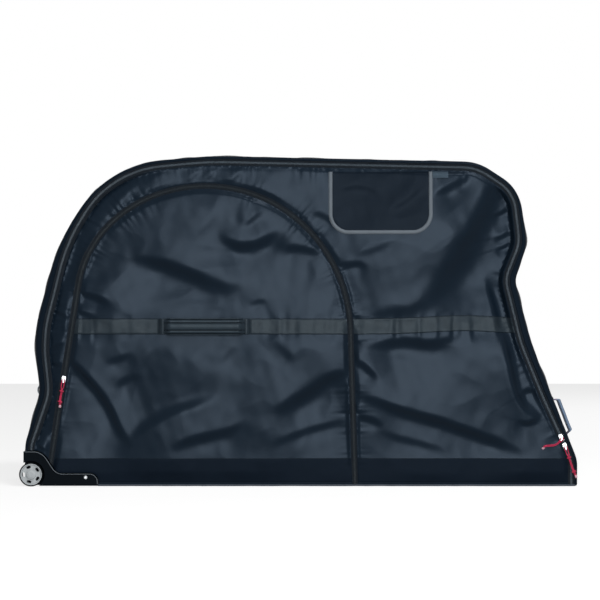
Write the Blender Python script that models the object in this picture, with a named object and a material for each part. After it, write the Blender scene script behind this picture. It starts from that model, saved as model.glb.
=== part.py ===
"""Soft bike travel bag: a padded fabric shell on a stiff base, with two wheels at its low corner.

Metres, +Z up. +X runs to the end that is lifted, -X to the wheels, and the front faces -Y.
The origin lies on the ground under the middle of the bag.
Places on the front and back faces are given as a depth behind the face, so one function
serves both sides.
"""
import math

import bmesh
import bpy
from mathutils import Vector

for leftover in list(bpy.data.objects):
    bpy.data.objects.remove(leftover)

# The bag as a whole
body_length = 1.337
bag_height = 0.798
bag_depth = 0.260
half_depth = bag_depth / 2
seat_gap = 0.0003
fabric = 0.003
cut_overrun = 0.02

# Side outline: corners as shares of the length and the height, with radii as shares of the
# height, rounded at the proportion of length to height below and then stretched to size
outline_proportion = 1.675
outline_shares = (
    (0.000, 0.129, 0.121),
    (0.026, 0.287, 0.137),
    (0.013, 0.455, 0.364),
    (0.060, 0.748, 0.640),
    (0.154, 0.974, 0.330),
    (0.330, 1.003, 0.900),
    (0.820, 0.985, 0.152),
    (0.895, 0.903, 0.137),
    (0.910, 0.733, 0.137),
    (0.888, 0.627, 0.060),
    (0.917, 0.440, 0.550),
    (1.000, 0.080, 0.095),
)
zip_inset_shares = (
    (0.00, 0.0188),
    (0.12, 0.0188),
    (0.28, 0.0288),
    (0.45, 0.0326),
    (0.62, 0.0301),
    (0.78, 0.0226),
    (0.90, 0.0188),
    (1.10, 0.0188),
)
arc_step = math.radians(11)

# Gusset: the wall round the side of the bag, and the lip that its zip is sewn under
gusset_corner_radius = 0.005
back_lip = 0.009
corner_mid_share = 1 - math.sqrt(0.5)
left_seam_share = 0.22
right_seam_share = 0.80

# Zips: half of a chain of teeth, and the tape beside it
chain_half = 0.003
teeth_thickness = 0.0022
tape_thickness = 0.0012
tape_under = 0.0025
main_tape_show = 0.005
arch_tape_show = 0.004

# Arch zip round the wheel pocket: two quarters of an ellipse on two straight legs
arch_left_margin = 0.127
arch_headroom = 0.071
arch_left_span = 0.311
arch_left_rise = 0.276
arch_right_span = 0.350
arch_right_rise = 0.361
arch_left_lean = 0.157
arch_right_lean = 0.030
arch_quarter_steps = 9

# Base
piping_radius = 0.0025
base_thickness = 2 * piping_radius
board_thickness = 0.004
pad_thickness = 0.012
board_margin = 0.014

# Wheels, axles and the moulded brackets that carry them
wheel_radius = 0.029
wheel_width = 0.022
wheel_inset = 0.0152
wheel_proud = 0.003
tyre_thickness = 0.0028
tyre_crown = 0.0010
hub_rim = 0.0035
hub_web = 0.0045
hub_web_recess = 0.0025
hub_boss_radius = 0.0095
hub_hole_count = 5
hub_hole_radius = 0.0034
hub_hole_slot = 0.0024
hub_hole_circle_share = 0.70
hub_first_hole = math.radians(38)
axle_radius = 0.004
axle_cap_radius = 0.0118
axle_cap_height = 0.0024
axle_dome_shares = ((0.50, 1.00), (0.85, 0.70), (1.00, 0.25))
axle_tail_radius = 0.008
axle_tail_thickness = 0.003
wheel_clearance = 0.0045
side_clearance = 0.0012
wheel_segments = 32
bracket_wall = 0.0025
bracket_proud = 0.006
bracket_length = 0.1793
bracket_height = 0.0847
bracket_toe_height = 0.031
bracket_shoulder = 0.0443
bracket_instep = 0.0794
bracket_shoulder_radius = 0.0387
bracket_instep_radius = 0.029
bracket_toe_radius = 0.0194
bracket_foot = 0.002
bracket_return = 0.045
bracket_rim_width = 0.0026
bracket_rim_proud = 0.0014
swing_clearance = 0.0022
rivet_from_end = 0.0288
rivet_height = 0.0225
rivet_head_radius = 0.0048
rivet_head_height = 0.0022
rivet_dome_shares = ((0.50, 1.00), (0.90, 0.50))
rivet_shank_radius = 0.0018
rivet_tail_thickness = 0.0012

# Pockets for the two bicycle wheels
pocket_wall = 0.0022
pocket_depth = 0.056
pocket_foot = 0.026
pocket_corner_radius = 0.200
sleeve_height_share = 0.62

# Front face trim
band_height = 0.068
band_foot_gap = 0.005
band_thickness = 0.0012
patch_left_share = 0.5502
patch_right_share = 0.7367
patch_top_gap = 0.003
patch_drop = 0.150
patch_corner_radius = 0.048
patch_thickness = 0.0010
patch_piping_width = 0.008
patch_piping_thickness = 0.0024
tab_left_share = 0.7367
tab_right_share = 0.7656
tab_drop = 0.015
tab_thickness = 0.0018

# Webbing and handles
webbing_width = 0.038
webbing_thickness = 0.0015
webbing_height = 0.387
webbing_end_margin = 0.002
handle_from_left = 0.435
handle_length = 0.195
handle_width = 0.040
handle_thickness = 0.006
handle_proud = 0.024
handle_axis_proud = 0.0075
anchor_length = 0.016
anchor_height = 0.0105
anchor_ramp = 0.006
tow_height = 0.158
tow_length = 0.094
tow_width = 0.034
tow_thickness = 0.005
tow_proud = 0.022
tow_strip_width = 0.036
grip_station_shares = (
    (-0.500, 0.00, 0.30),
    (-0.455, 0.22, 0.42),
    (-0.400, 0.70, 0.72),
    (-0.335, 1.00, 1.00),
    (0.335, 1.00, 1.00),
    (0.400, 0.70, 0.72),
    (0.455, 0.22, 0.42),
    (0.500, 0.00, 0.30),
)

# Ring and loop on the ends of the bag
ring_height = 0.228
ring_wire_radius = 0.0021
ring_width = 0.031
ring_reach = 0.012
ring_tab_width = 0.019
ring_tab_depth = 0.012
ring_tab_proud = 0.0090
ring_tab_shoulder_share = 0.6
ring_turning_gap = 0.0006
ring_hole_sides = 16
side_loop_height = 0.466
side_loop_length = 0.041
side_loop_width = 0.022
side_loop_proud = 0.0095
side_loop_leg = 0.0065
side_loop_sole = 0.0010
side_loop_gap = 0.0057
side_loop_chamfer = 0.0030

# Zip sliders and the cords tied to them
slider_length = 0.016
slider_half_width = 0.0053
slider_plate = 0.0014
slider_flange_inner = 0.0034
slider_station_shares = ((-0.5, 0.78), (-0.36, 1.0), (0.12, 1.0), (0.5, 0.84))
bail_half_width = 0.0015
bail_hole_height = 0.0033
bail_bar = 0.0013
bail_leg = 0.0016
bail_reach = 0.0024
bail_back = 0.0052
cord_radius = 0.0012
arch_slider_height = 0.259
upper_slider_height = 0.1186
lower_slider_height = 0.0973

# Routes of the zip pulls: points down the zip, proud of it and across it, and thickness
# as a share of the cord's radius

hanging_tail = (
    (0.0655, 0.0032, -0.0022, 0.8), (0.0605, 0.0035, -0.0012, 1.0), (0.0585, 0.0042, -0.0006, 1.7),
    (0.0565, 0.0048, 0.0000, 2.3), (0.0540, 0.0046, 0.0002, 2.1), (0.0520, 0.0040, 0.0004, 1.5),
    (0.0480, 0.0037, 0.0006, 1.35), (0.0400, 0.0037, 0.0003, 1.35), (0.0340, 0.0037, 0.0000, 1.4),
)
hanging_loop = (
    (0.0310, 0.0042, 0.0000, 1.8), (0.0285, 0.0048, 0.0000, 2.3), (0.0260, 0.0043, 0.0003, 1.9),
    (0.0235, 0.0037, 0.0012, 1.0), (0.0180, 0.0033, 0.0026, 1.0), (0.0100, 0.0028, 0.0031, 1.0),
    (0.0040, 0.0025, 0.0031, 1.0), (0.0013, 0.0024, 0.0028, 1.0), (0.0000, 0.0024, 0.0015, 1.0),
    (0.0000, 0.0024, 0.0000, 1.0), (0.0000, 0.0024, -0.0015, 1.0), (0.0013, 0.0024, -0.0028, 1.0),
    (0.0040, 0.0025, -0.0031, 1.0), (0.0100, 0.0028, -0.0031, 1.0), (0.0180, 0.0033, -0.0028, 1.0),
    (0.0220, 0.0037, -0.0024, 1.0),
)
side_route = (
    (0.0079, 0.0032, 0.0505, 0.8), (0.0056, 0.0036, 0.0486, 1.3), (0.0036, 0.0048, 0.0462, 2.3),
    (0.0034, 0.0046, 0.0440, 1.9), (0.0042, 0.0038, 0.0415, 1.35), (0.0060, 0.0036, 0.0360, 1.35),
    (0.0085, 0.0035, 0.0290, 1.35), (0.0103, 0.0035, 0.0220, 1.3), (0.0102, 0.0033, 0.0160, 1.2),
    (0.0085, 0.0030, 0.0105, 1.1), (0.0060, 0.0028, 0.0062, 1.0), (0.0030, 0.0025, 0.0035, 1.0),
    (0.0012, 0.0024, 0.0028, 1.0), (0.0000, 0.0024, 0.0015, 1.0), (0.0000, 0.0024, 0.0000, 1.0),
    (0.0000, 0.0024, -0.0015, 1.0), (0.0013, 0.0024, -0.0028, 1.0), (0.0045, 0.0025, -0.0031, 1.0),
    (0.0072, 0.0027, -0.0018, 1.0), (0.0082, 0.0028, 0.0002, 1.0),
)
lower_pull_extra = 0.012
lower_pull_drift_share = 0.1
loop_shoulder = 0.004

# Straps that hold the bicycle's frame, lying on the pad
frame_strap_offset = 0.25
frame_strap_length = 0.110
frame_strap_width = 0.025
frame_strap_thickness = 0.002
buckle_length = 0.040
buckle_wall = 0.003

# Places that follow from the sizes above
wheel_overhang = wheel_radius - wheel_inset
body_left = -body_length / 2 + wheel_overhang / 2
body_right = body_left + body_length
foot = base_thickness + seat_gap
tape_depth = fabric + seat_gap
teeth_depth = fabric - teeth_thickness
main_edge = chain_half + main_tape_show
arch_edge = chain_half + arch_tape_show
pocket_seam = arch_edge + tape_under
pocket_mouth = tape_depth + tape_thickness + seat_gap
wheel_x = body_left + wheel_inset
wheel_bore = axle_radius + seat_gap
well_radius = wheel_radius + wheel_clearance
well_depth = wheel_width - wheel_proud + side_clearance
well_block_depth = well_depth + bracket_wall
bracket_left = body_left - seat_gap - bracket_wall
bracket_end = bracket_left + bracket_length
board_foot = base_thickness + seat_gap
pad_foot = board_foot + board_thickness + seat_gap
pad_top = pad_foot + pad_thickness
arch_top = bag_height - arch_headroom
origin = Vector((0, 0, 0))

FRONT = -1
BACK = 1


def face_y(side, depth):
    """Y of a plane that lies the given depth behind the front or back face."""
    return side * (half_depth - depth)


# Flat outlines, as lists of points (x, z)

def rounded_path(corners):
    """An open path through corners (x, z, radius), each corner turned into an arc."""
    path = [Vector(corners[0][:2])]
    for before, corner, after in zip(corners, corners[1:], corners[2:]):
        here = Vector(corner[:2])
        if corner[2] == 0:
            path.append(here)
            continue
        way_in = (here - Vector(before[:2])).normalized()
        way_out = (Vector(after[:2]) - here).normalized()
        turn = math.atan2(way_in.x * way_out.y - way_in.y * way_out.x, way_in.dot(way_out))
        start = here - way_in * corner[2] * math.tan(abs(turn) / 2)
        left = Vector((-way_in.y, way_in.x)) * math.copysign(1, turn)
        centre = start + left * corner[2]
        steps = max(1, math.ceil(abs(turn) / arc_step))
        for step in range(steps + 1):
            angle = turn * step / steps
            arm = start - centre
            turned = Vector((
                arm.x * math.cos(angle) - arm.y * math.sin(angle),
                arm.x * math.sin(angle) + arm.y * math.cos(angle),
            ))
            path.append(centre + turned)
    path.append(Vector(corners[-1][:2]))
    return path


def right_hand(start, end):
    """The unit normal on the right of a step from start to end."""
    step = (end - start).normalized()
    return Vector((step.y, -step.x))


def beside(path, distance, closed=False):
    """The path moved to its right, mitred at its points. Steep ends keep their height."""
    moved = []
    count = len(path)
    for index, point in enumerate(path):
        if not closed and index in (0, count - 1):
            near = (0, 1) if index == 0 else (-2, -1)
            normal = right_hand(path[near[0]], path[near[1]])
            if abs(normal.x) > abs(normal.y):
                moved.append(point + Vector((distance / normal.x, 0)))
            else:
                moved.append(point + normal * distance)
            continue
        before = right_hand(path[index - 1], point)
        after = right_hand(point, path[(index + 1) % count])
        middle = (before + after).normalized()
        moved.append(point + middle * distance / middle.dot(after))
    return moved


def side_outline(foot):
    """The bag's side outline, from the foot of its left end over the top to its right foot."""
    foot_share = foot / bag_height
    corners = [(0, foot_share, 0)]
    for x_share, z_share, radius_share in outline_shares:
        corners.append((x_share * outline_proportion, z_share, radius_share))
    corners.append((outline_proportion, foot_share, 0))
    return [
        Vector((body_left + p.x / outline_proportion * body_length, p.y * bag_height))
        for p in rounded_path(corners)
    ]


def split_on_top(path, x, gap):
    """Cut a path where its top passes x, and leave a gap between the two stretches."""
    for index in range(1, len(path)):
        start, end = path[index - 1], path[index]
        if start.x <= x < end.x and start.y > bag_height / 2:
            slope = (end.y - start.y) / (end.x - start.x)
            left_end = Vector((x - gap / 2, start.y + slope * (x - gap / 2 - start.x)))
            right_end = Vector((x + gap / 2, start.y + slope * (x + gap / 2 - start.x)))
            return path[:index] + [left_end], [right_end] + path[index:]
    return path, []


def arch_outline(foot):
    """The arch zip's middle line, from its left foot over the crown to its right foot."""
    crown_x = body_left + arch_left_margin + arch_left_span
    join = math.atan(arch_left_lean * arch_left_rise / arch_left_span)
    path = []
    left_x = crown_x - arch_left_span * math.cos(join)
    left_z = arch_top - arch_left_rise + arch_left_rise * math.sin(join)
    path.append(Vector((left_x - arch_left_lean * (left_z - foot), foot)))
    for step in range(arch_quarter_steps + 1):
        angle = join + (math.pi / 2 - join) * step / arch_quarter_steps
        path.append(Vector((
            crown_x - arch_left_span * math.cos(angle),
            arch_top - arch_left_rise + arch_left_rise * math.sin(angle),
        )))
    for step in range(1, arch_quarter_steps + 1):
        angle = math.pi / 2 * step / arch_quarter_steps
        path.append(Vector((
            crown_x + arch_right_span * math.sin(angle),
            arch_top - arch_right_rise + arch_right_rise * math.cos(angle),
        )))
    last = path[-1]
    path.append(Vector((last.x + arch_right_lean * (last.y - foot), foot)))
    return path


def crossings(path, height):
    """The lowest and highest x at which a path passes a height."""
    found = []
    for start, end in zip(path, path[1:]):
        if (start.y - height) * (end.y - height) <= 0 and start.y != end.y:
            share = (height - start.y) / (end.y - start.y)
            found.append(start.x + share * (end.x - start.x))
    return min(found), max(found)


def bracket_outline(left, foot, growth):
    """The bracket's swept top line closed along its foot, grown outward by a clearance."""
    top = rounded_path((
        (left, bracket_height, 0),
        (bracket_left + bracket_shoulder, bracket_height, bracket_shoulder_radius),
        (bracket_left + bracket_instep, bracket_toe_height, bracket_instep_radius),
        (bracket_left + bracket_length, bracket_toe_height, bracket_toe_radius),
        (bracket_left + bracket_length, foot, 0),
    ))
    grown = beside(top, -growth)
    return grown + [Vector((left, foot))]


def well_outline(radius, left, foot):
    """The block round the wheel: an arc over the wheel, cut by the bag's end and its foot."""
    centre = Vector((wheel_x, wheel_radius))
    first = math.acos((left - centre.x) / radius)
    last = -math.asin((centre.y - foot) / radius)
    steps = math.ceil((first - last) / arc_step)
    outline = []
    for step in range(steps + 1):
        angle = first + (last - first) * step / steps
        outline.append(centre + Vector((math.cos(angle), math.sin(angle))) * radius)
    outline.append(Vector((left, foot)))
    return outline


def circle_points(centre_x, centre_z, radius, segments):
    """Points round a circle in the plane of the side outline."""
    points = []
    for step in range(segments):
        angle = 2 * math.pi * step / segments
        points.append(Vector((
            centre_x + radius * math.cos(angle),
            centre_z + radius * math.sin(angle),
        )))
    return points


# Solids

def new_object(name, mesh_builder, place, smooth_angle=None):
    """Turn a bmesh in world coordinates into an object whose origin is at place."""
    bmesh.ops.recalc_face_normals(mesh_builder, faces=mesh_builder.faces)
    bmesh.ops.translate(mesh_builder, vec=-place, verts=mesh_builder.verts)
    mesh = bpy.data.meshes.new(name)
    mesh_builder.to_mesh(mesh)
    mesh_builder.free()
    if smooth_angle is not None:
        mesh.shade_smooth()
        mesh.set_sharp_from_angle(angle=smooth_angle)
    solid = bpy.data.objects.new(name, mesh)
    solid.location = place
    bpy.context.scene.collection.objects.link(solid)
    return solid


def loft(name, rings, place, closed=False, smooth_angle=None):
    """Join rings of points into one skin, with its two ends filled or joined to each other."""
    builder = bmesh.new()
    rows = [[builder.verts.new(point) for point in ring] for ring in rings]
    pairs = list(zip(rows, rows[1:]))
    if closed:
        pairs.append((rows[-1], rows[0]))
    for near, far in pairs:
        for index in range(len(near)):
            after = (index + 1) % len(near)
            builder.faces.new((near[index], near[after], far[after], far[index]))
    if not closed:
        builder.faces.new(rows[0])
        builder.faces.new(rows[-1])
    return new_object(name, builder, place, smooth_angle)


def plate(name, outline, near_y, far_y, place):
    """A flat outline given thickness between two planes."""
    rings = [[Vector((p.x, y, p.y)) for p in outline] for y in (near_y, far_y)]
    return loft(name, rings, place)


def ribbon(name, path, section, place, smooth_angle=math.radians(40)):
    """A section of points (distance beside the path, y) carried along a path."""
    rails = [(beside(path, distance), y) for distance, y in section]
    rings = []
    for index in range(len(path)):
        rings.append([Vector((rail[index].x, y, rail[index].y)) for rail, y in rails])
    return loft(name, rings, place, smooth_angle=smooth_angle)


def tray(name, outline, mouth_y, floor_y, wall, place):
    """A dish: a wall round a closed outline and a floor, open at its mouth."""
    inner = beside(outline, wall, closed=True)
    inner_floor = floor_y - math.copysign(wall, floor_y - mouth_y)
    builder = bmesh.new()
    rows = []
    for line, y in ((outline, floor_y), (outline, mouth_y), (inner, mouth_y), (inner, inner_floor)):
        rows.append([builder.verts.new((p.x, y, p.y)) for p in line])
    for near, far in zip(rows, rows[1:]):
        for index in range(len(near)):
            after = (index + 1) % len(near)
            builder.faces.new((near[index], near[after], far[after], far[index]))
    builder.faces.new(rows[0])
    builder.faces.new(rows[-1])
    return new_object(name, builder, place)


def turned(name, profile, centre_x, centre_z, place, segments=wheel_segments):
    """A closed profile of points (radius, y) turned about a line along Y."""
    rings = []
    for step in range(segments):
        angle = 2 * math.pi * step / segments
        rings.append([
            Vector((
                centre_x + radius * math.cos(angle),
                y,
                centre_z + radius * math.sin(angle),
            ))
            for radius, y in profile
        ])
    return loft(name, rings, place, closed=True, smooth_angle=math.radians(35))


def turned_pin(name, profile, centre_x, centre_z, place, segments=wheel_segments):
    """A solid pin: an open profile of points (radius, y) turned about a line along Y."""
    rings = []
    for radius, y in profile:
        rings.append([
            Vector((p.x, y, p.y)) for p in circle_points(centre_x, centre_z, radius, segments)
        ])
    return loft(name, rings, place, smooth_angle=math.radians(35))


def tube(name, points, radii, place, sides=8):
    """A round cord through points, with a radius at each of them."""
    curve = bpy.data.curves.new(name, "CURVE")
    curve.dimensions = "3D"
    curve.bevel_depth = 1
    curve.bevel_resolution = sides // 4
    curve.use_fill_caps = True
    spline = curve.splines.new("POLY")
    spline.points.add(len(points) - 1)
    for knot, point, radius in zip(spline.points, points, radii):
        knot.co = (*(point - place), 1)
        knot.radius = radius
    cord = bpy.data.objects.new(name, curve)
    cord.location = place
    bpy.context.scene.collection.objects.link(cord)
    return cord


def closed_wire(name, points, radius, side_direction, place, sides=8):
    """A round wire along a closed flat path, whose plane is square to side_direction."""
    rings = []
    count = len(points)
    for index, point in enumerate(points):
        along = (points[(index + 1) % count] - points[index - 1]).normalized()
        across = along.cross(side_direction)
        ring = []
        for side in range(sides):
            angle = 2 * math.pi * side / sides
            arm = across * math.cos(angle) + side_direction * math.sin(angle)
            ring.append(point + arm * radius)
        rings.append(ring)
    return loft(name, rings, place, closed=True, smooth_angle=math.radians(50))


class Spot:
    """A place on the bag with its own directions: along, proud of the surface, and across."""

    def __init__(self, origin, along, proud):
        self.origin = origin
        self.along = along.normalized()
        self.proud = proud.normalized()
        self.across = self.along.cross(self.proud)

    def at(self, along, proud, across):
        """The world point at distances along, proud of and across the spot."""
        return self.origin + self.along * along + self.proud * proud + self.across * across


def spot_prism(name, spot, outline, low, high, place):
    """An outline in the along and proud directions, given width across the spot."""
    rings = [[spot.at(along, proud, across) for along, proud in outline] for across in (low, high)]
    return loft(name, rings, place)


def end_spot(path, height, right_side, inset=0):
    """A spot on the bag's end at a height, looking down along it and out of the bag."""
    pairs = list(zip(path, path[1:]))
    if right_side:
        pairs.reverse()
    for start, end in pairs:
        if (start.y - height) * (end.y - height) <= 0 and start.y != end.y:
            share = (height - start.y) / (end.y - start.y)
            step = (end - start).normalized()
            out = Vector((-step.y, step.x))
            here = start + (end - start) * share + out * inset
            down = step if step.y < 0 else -step
            return Spot(
                Vector((here.x, 0, here.y)),
                Vector((down.x, 0, down.y)),
                Vector((out.x, 0, out.y)),
            )
    raise ValueError("the path does not pass this height")


def zip_spot(path, height, right_side):
    """A spot on the front face over a zip, looking down along its teeth."""
    on_line = end_spot(path, height, right_side)
    here = on_line.origin + Vector((0, face_y(FRONT, 0), 0))
    return Spot(here, on_line.along, Vector((0, -1, 0)))


def modify(solid, operation, tool):
    """Join or cut a solid with a tool."""
    boolean = solid.modifiers.new(operation.lower(), "BOOLEAN")
    boolean.operation = operation
    boolean.solver = "EXACT"
    boolean.object = tool
    return solid


def as_tool(solid):
    """Keep a solid as a guide that isn't part of the bag."""
    solid.hide_render = True
    solid.display_type = "WIRE"
    return solid


def world_point(thing):
    """Where an unturned object's origin lies, its parents' places added up."""
    point = thing.location.copy()
    while thing.parent is not None:
        thing = thing.parent
        point += thing.location
    return point


def pivot_at(name, point, parent=None):
    """An empty on a joint's axis."""
    pivot = bpy.data.objects.new(name, None)
    pivot.empty_display_size = wheel_radius
    bpy.context.scene.collection.objects.link(pivot)
    pivot.location = point
    if parent is not None:
        pivot.location = point - world_point(parent)
        pivot.parent = parent
    return pivot


def finish(solid, look, pivot=None):
    """Give a solid its own material, from (colour, roughness, metallic), and hang it on its pivot."""
    colour, roughness, metallic = look
    material = bpy.data.materials.new(solid.name)
    material.use_nodes = True
    shader = material.node_tree.nodes["Principled BSDF"]
    shader.inputs["Base Color"].default_value = (*colour, 1)
    shader.inputs["Roughness"].default_value = roughness
    shader.inputs["Metallic"].default_value = metallic
    solid.data.materials.append(material)
    if pivot is not None:
        solid.location = solid.location - world_point(pivot)
        solid.parent = pivot
    return solid


# Looks: (colour, roughness, metallic)
SHELL = ((0.036, 0.044, 0.057), 0.75, 0)
BASE_CLOTH = ((0.008, 0.012, 0.020), 0.70, 0)
LINING = ((0.045, 0.050, 0.058), 0.80, 0)
TAPE = ((0.010, 0.013, 0.019), 0.80, 0)
TEETH = ((0.085, 0.092, 0.100), 0.35, 0)
WEBBING = ((0.048, 0.062, 0.075), 0.70, 0)
DARK_WEBBING = ((0.010, 0.012, 0.016), 0.70, 0)
PIPING = ((0.230, 0.260, 0.290), 0.50, 0)
BASE_PIPING = ((0.035, 0.042, 0.055), 0.55, 0)
MOULDING = ((0.018, 0.023, 0.028), 0.45, 0)
SILVER = ((0.610, 0.640, 0.650), 0.38, 0.3)
RUBBER = ((0.010, 0.010, 0.012), 0.80, 0)
CHROME = ((0.750, 0.760, 0.770), 0.15, 1)
CORD = ((0.480, 0.030, 0.080), 0.70, 0)
FOAM = ((0.070, 0.075, 0.085), 0.90, 0)
STIFF_BOARD = ((0.020, 0.022, 0.025), 0.60, 0)
TAB = ((0.110, 0.155, 0.205), 0.60, 0)
TOW = ((0.180, 0.220, 0.300), 0.60, 0)


# Lines that several pieces follow

shell_line = side_outline(foot)


def zip_inset(height):
    """How far the main zip runs inside the side outline, at a height."""
    height_share = height / bag_height
    for (low, low_inset), (high, high_inset) in zip(zip_inset_shares, zip_inset_shares[1:]):
        if height_share <= high:
            share = (height_share - low) / (high - low)
            return bag_height * (low_inset + share * (high_inset - low_inset))
    return bag_height * zip_inset_shares[-1][1]


def inset_line(path):
    """The side outline moved inward to the main zip's teeth."""
    moved = []
    for index, point in enumerate(path):
        moved.append(beside(path, zip_inset(point.y))[index])
    return moved


main_zip_line = inset_line(shell_line)
arch_line = arch_outline(foot)
flap_line = beside(arch_line, arch_edge)


def pocket_outline():
    """A wheel pocket's closed outline: the arch let out to its seam, with round lower corners."""
    arch = beside(arch_outline(pocket_foot), -pocket_seam)
    middle = (arch[0].x + arch[-1].x) / 2
    corners = [(middle, pocket_foot, 0), (arch[0].x, pocket_foot, pocket_corner_radius)]
    for point in arch[1:-1]:
        corners.append((point.x, point.y, 0))
    corners.append((arch[-1].x, pocket_foot, pocket_corner_radius))
    corners.append((middle, pocket_foot, 0))
    return rounded_path(corners)[:-1]


def box_tool(name, low, high):
    """A plain box that cuts."""
    outline = [Vector(p) for p in ((low.x, low.z), (high.x, low.z), (high.x, high.z), (low.x, high.z))]
    return as_tool(plate(name, outline, low.y, high.y, origin))


# Tools that clear the way for the brackets and the wheels

notch_tool = as_tool(plate(
    "bracket_notch_tool",
    bracket_outline(bracket_left - cut_overrun, -cut_overrun, swing_clearance),
    face_y(FRONT, -cut_overrun),
    face_y(FRONT, cut_overrun),
    origin,
))


def well_tool(side, name):
    """The room that a wheel's well takes out of the bag's corner."""
    outline = well_outline(
        well_radius + bracket_wall + seat_gap,
        bracket_left - seat_gap,
        -seat_gap,
    )
    near = face_y(side, -cut_overrun)
    far = face_y(side, well_block_depth + seat_gap)
    return as_tool(plate(name, outline, near, far, origin))


well_tools = {side: well_tool(side, f"wheel_well_tool_{label}")
              for side, label in ((FRONT, "front"), (BACK, "back"))}


def rivet_tool(side, name):
    """The hole for the rivet that holds a bracket to the bag."""
    x = bracket_end - rivet_from_end
    radius = rivet_shank_radius + seat_gap
    profile = [(radius, face_y(side, -cut_overrun)), (radius, face_y(side, cut_overrun))]
    return as_tool(turned_pin(name, profile, x, rivet_height, origin, segments=12))


rivet_tools = {side: rivet_tool(side, f"rivet_hole_tool_{label}")
               for side, label in ((FRONT, "front"), (BACK, "back"))}


# Shell

def gusset_rails(path):
    """The gusset's section: a wall with a rounded corner, a front lip and a back lip."""
    corner = gusset_corner_radius
    corner_mid = corner * corner_mid_share
    front_lip = beside(inset_line(path), -main_edge)
    section = (
        (beside(path, back_lip), BACK, fabric),
        (beside(path, back_lip), BACK, 0),
        (beside(path, corner), BACK, 0),
        (beside(path, corner_mid), BACK, corner_mid),
        (path, BACK, corner),
        (path, FRONT, corner),
        (beside(path, corner_mid), FRONT, corner_mid),
        (beside(path, corner), FRONT, 0),
        (front_lip, FRONT, 0),
        (front_lip, FRONT, fabric),
        (beside(path, fabric), FRONT, fabric),
        (beside(path, fabric), BACK, fabric),
    )
    return [(rail, face_y(side, depth)) for rail, side, depth in section]


def gusset(name, path):
    """One length of the padded wall that runs round the bag."""
    rails = gusset_rails(path)
    rings = []
    for index in range(len(path)):
        rings.append([Vector((rail[index].x, y, rail[index].y)) for rail, y in rails])
    return loft(name, rings, origin, smooth_angle=math.radians(40))


def build_gussets():
    """The wall in three lengths, seamed on its top."""
    left_seam = body_left + left_seam_share * body_length
    right_seam = body_left + right_seam_share * body_length
    left_path, rest = split_on_top(shell_line, left_seam, seat_gap)
    top_path, right_path = split_on_top(rest, right_seam, seat_gap)
    left = gusset("gusset_left", left_path)
    modify(left, "DIFFERENCE", well_tools[FRONT])
    modify(left, "DIFFERENCE", well_tools[BACK])
    finish(left, SHELL)
    finish(gusset("gusset_top", top_path), SHELL)
    finish(gusset("gusset_right", right_path), SHELL)


def build_back_panel():
    """The fixed back, let into the gusset's back lip."""
    outline = beside(shell_line, back_lip + seat_gap)
    panel = plate("back_panel", outline, face_y(BACK, fabric), face_y(BACK, 0), origin)
    modify(panel, "DIFFERENCE", well_tools[BACK])
    modify(panel, "DIFFERENCE", rivet_tools[BACK])
    finish(panel, SHELL)


def build_base():
    """The stiff base with its board and pad, and the piping along its long edges."""
    edge = 2 * piping_radius + seat_gap
    outline = [Vector(p) for p in (
        (body_left, 0), (body_right, 0), (body_right, base_thickness), (body_left, base_thickness),
    )]
    base = plate("base_panel", outline, face_y(FRONT, edge), face_y(BACK, edge), origin)
    modify(base, "DIFFERENCE", well_tools[FRONT])
    modify(base, "DIFFERENCE", well_tools[BACK])
    finish(base, BASE_CLOTH)
    inner_left = wheel_x + well_radius + bracket_wall + board_margin
    inner_right = body_right - fabric - board_margin
    layers = (
        ("base_board", board_foot, board_thickness, STIFF_BOARD),
        ("base_pad", pad_foot, pad_thickness, FOAM),
    )
    for name, low, thickness, look in layers:
        outline = [Vector(p) for p in (
            (inner_left, low), (inner_right, low),
            (inner_right, low + thickness), (inner_left, low + thickness),
        )]
        inner_depth = fabric + board_margin
        layer = plate(name, outline, face_y(FRONT, inner_depth), face_y(BACK, inner_depth), origin)
        finish(layer, look)
    for side, label in ((FRONT, "front"), (BACK, "back")):
        y = face_y(side, piping_radius)
        left_end = Vector((bracket_end + seat_gap, y, piping_radius))
        right_end = Vector((body_right - gusset_corner_radius, y, piping_radius))
        piping = tube(f"base_piping_{label}", [left_end, right_end], [piping_radius] * 2, origin)
        finish(piping, BASE_PIPING)


def build_front_corner():
    """The fixed cloth behind the front bracket, under the opening panel's notch."""
    lip_edge = beside(main_zip_line, -main_edge)[0].x
    outline = bracket_outline(lip_edge + seat_gap, foot, 0)
    panel = plate("front_corner_panel", outline, face_y(FRONT, 0), face_y(FRONT, fabric), origin)
    modify(panel, "DIFFERENCE", well_tools[FRONT])
    modify(panel, "DIFFERENCE", rivet_tools[FRONT])
    finish(panel, BASE_CLOTH)


# Zips

def zip_half(names, line, side_of_line, edge, pivot):
    """Half of a zip beside its middle line: a row of teeth in front of its tape."""
    start = side_of_line * seat_gap / 2
    teeth_end = side_of_line * chain_half
    slope_start = (start + teeth_end * 2) / 3
    tape_end = side_of_line * (edge + tape_under)
    teeth_front = face_y(FRONT, teeth_depth)
    teeth_middle = face_y(FRONT, teeth_depth + teeth_thickness / 2)
    teeth_back = face_y(FRONT, fabric)
    teeth_section = (
        (start, teeth_back), (start, teeth_front), (slope_start, teeth_front),
        (teeth_end, teeth_middle), (teeth_end, teeth_back),
    )
    tape_front = face_y(FRONT, tape_depth)
    tape_back = face_y(FRONT, tape_depth + tape_thickness)
    tape_section = (
        (start, tape_back), (start, tape_front), (tape_end, tape_front), (tape_end, tape_back),
    )
    for name, section, look in zip(names, (teeth_section, tape_section), (TEETH, TAPE)):
        strip = ribbon(name, line, section, origin if pivot is None else world_point(pivot))
        modify(strip, "DIFFERENCE", notch_tool)
        finish(strip, look, pivot)


# Front panel and wheel pocket flap

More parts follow.
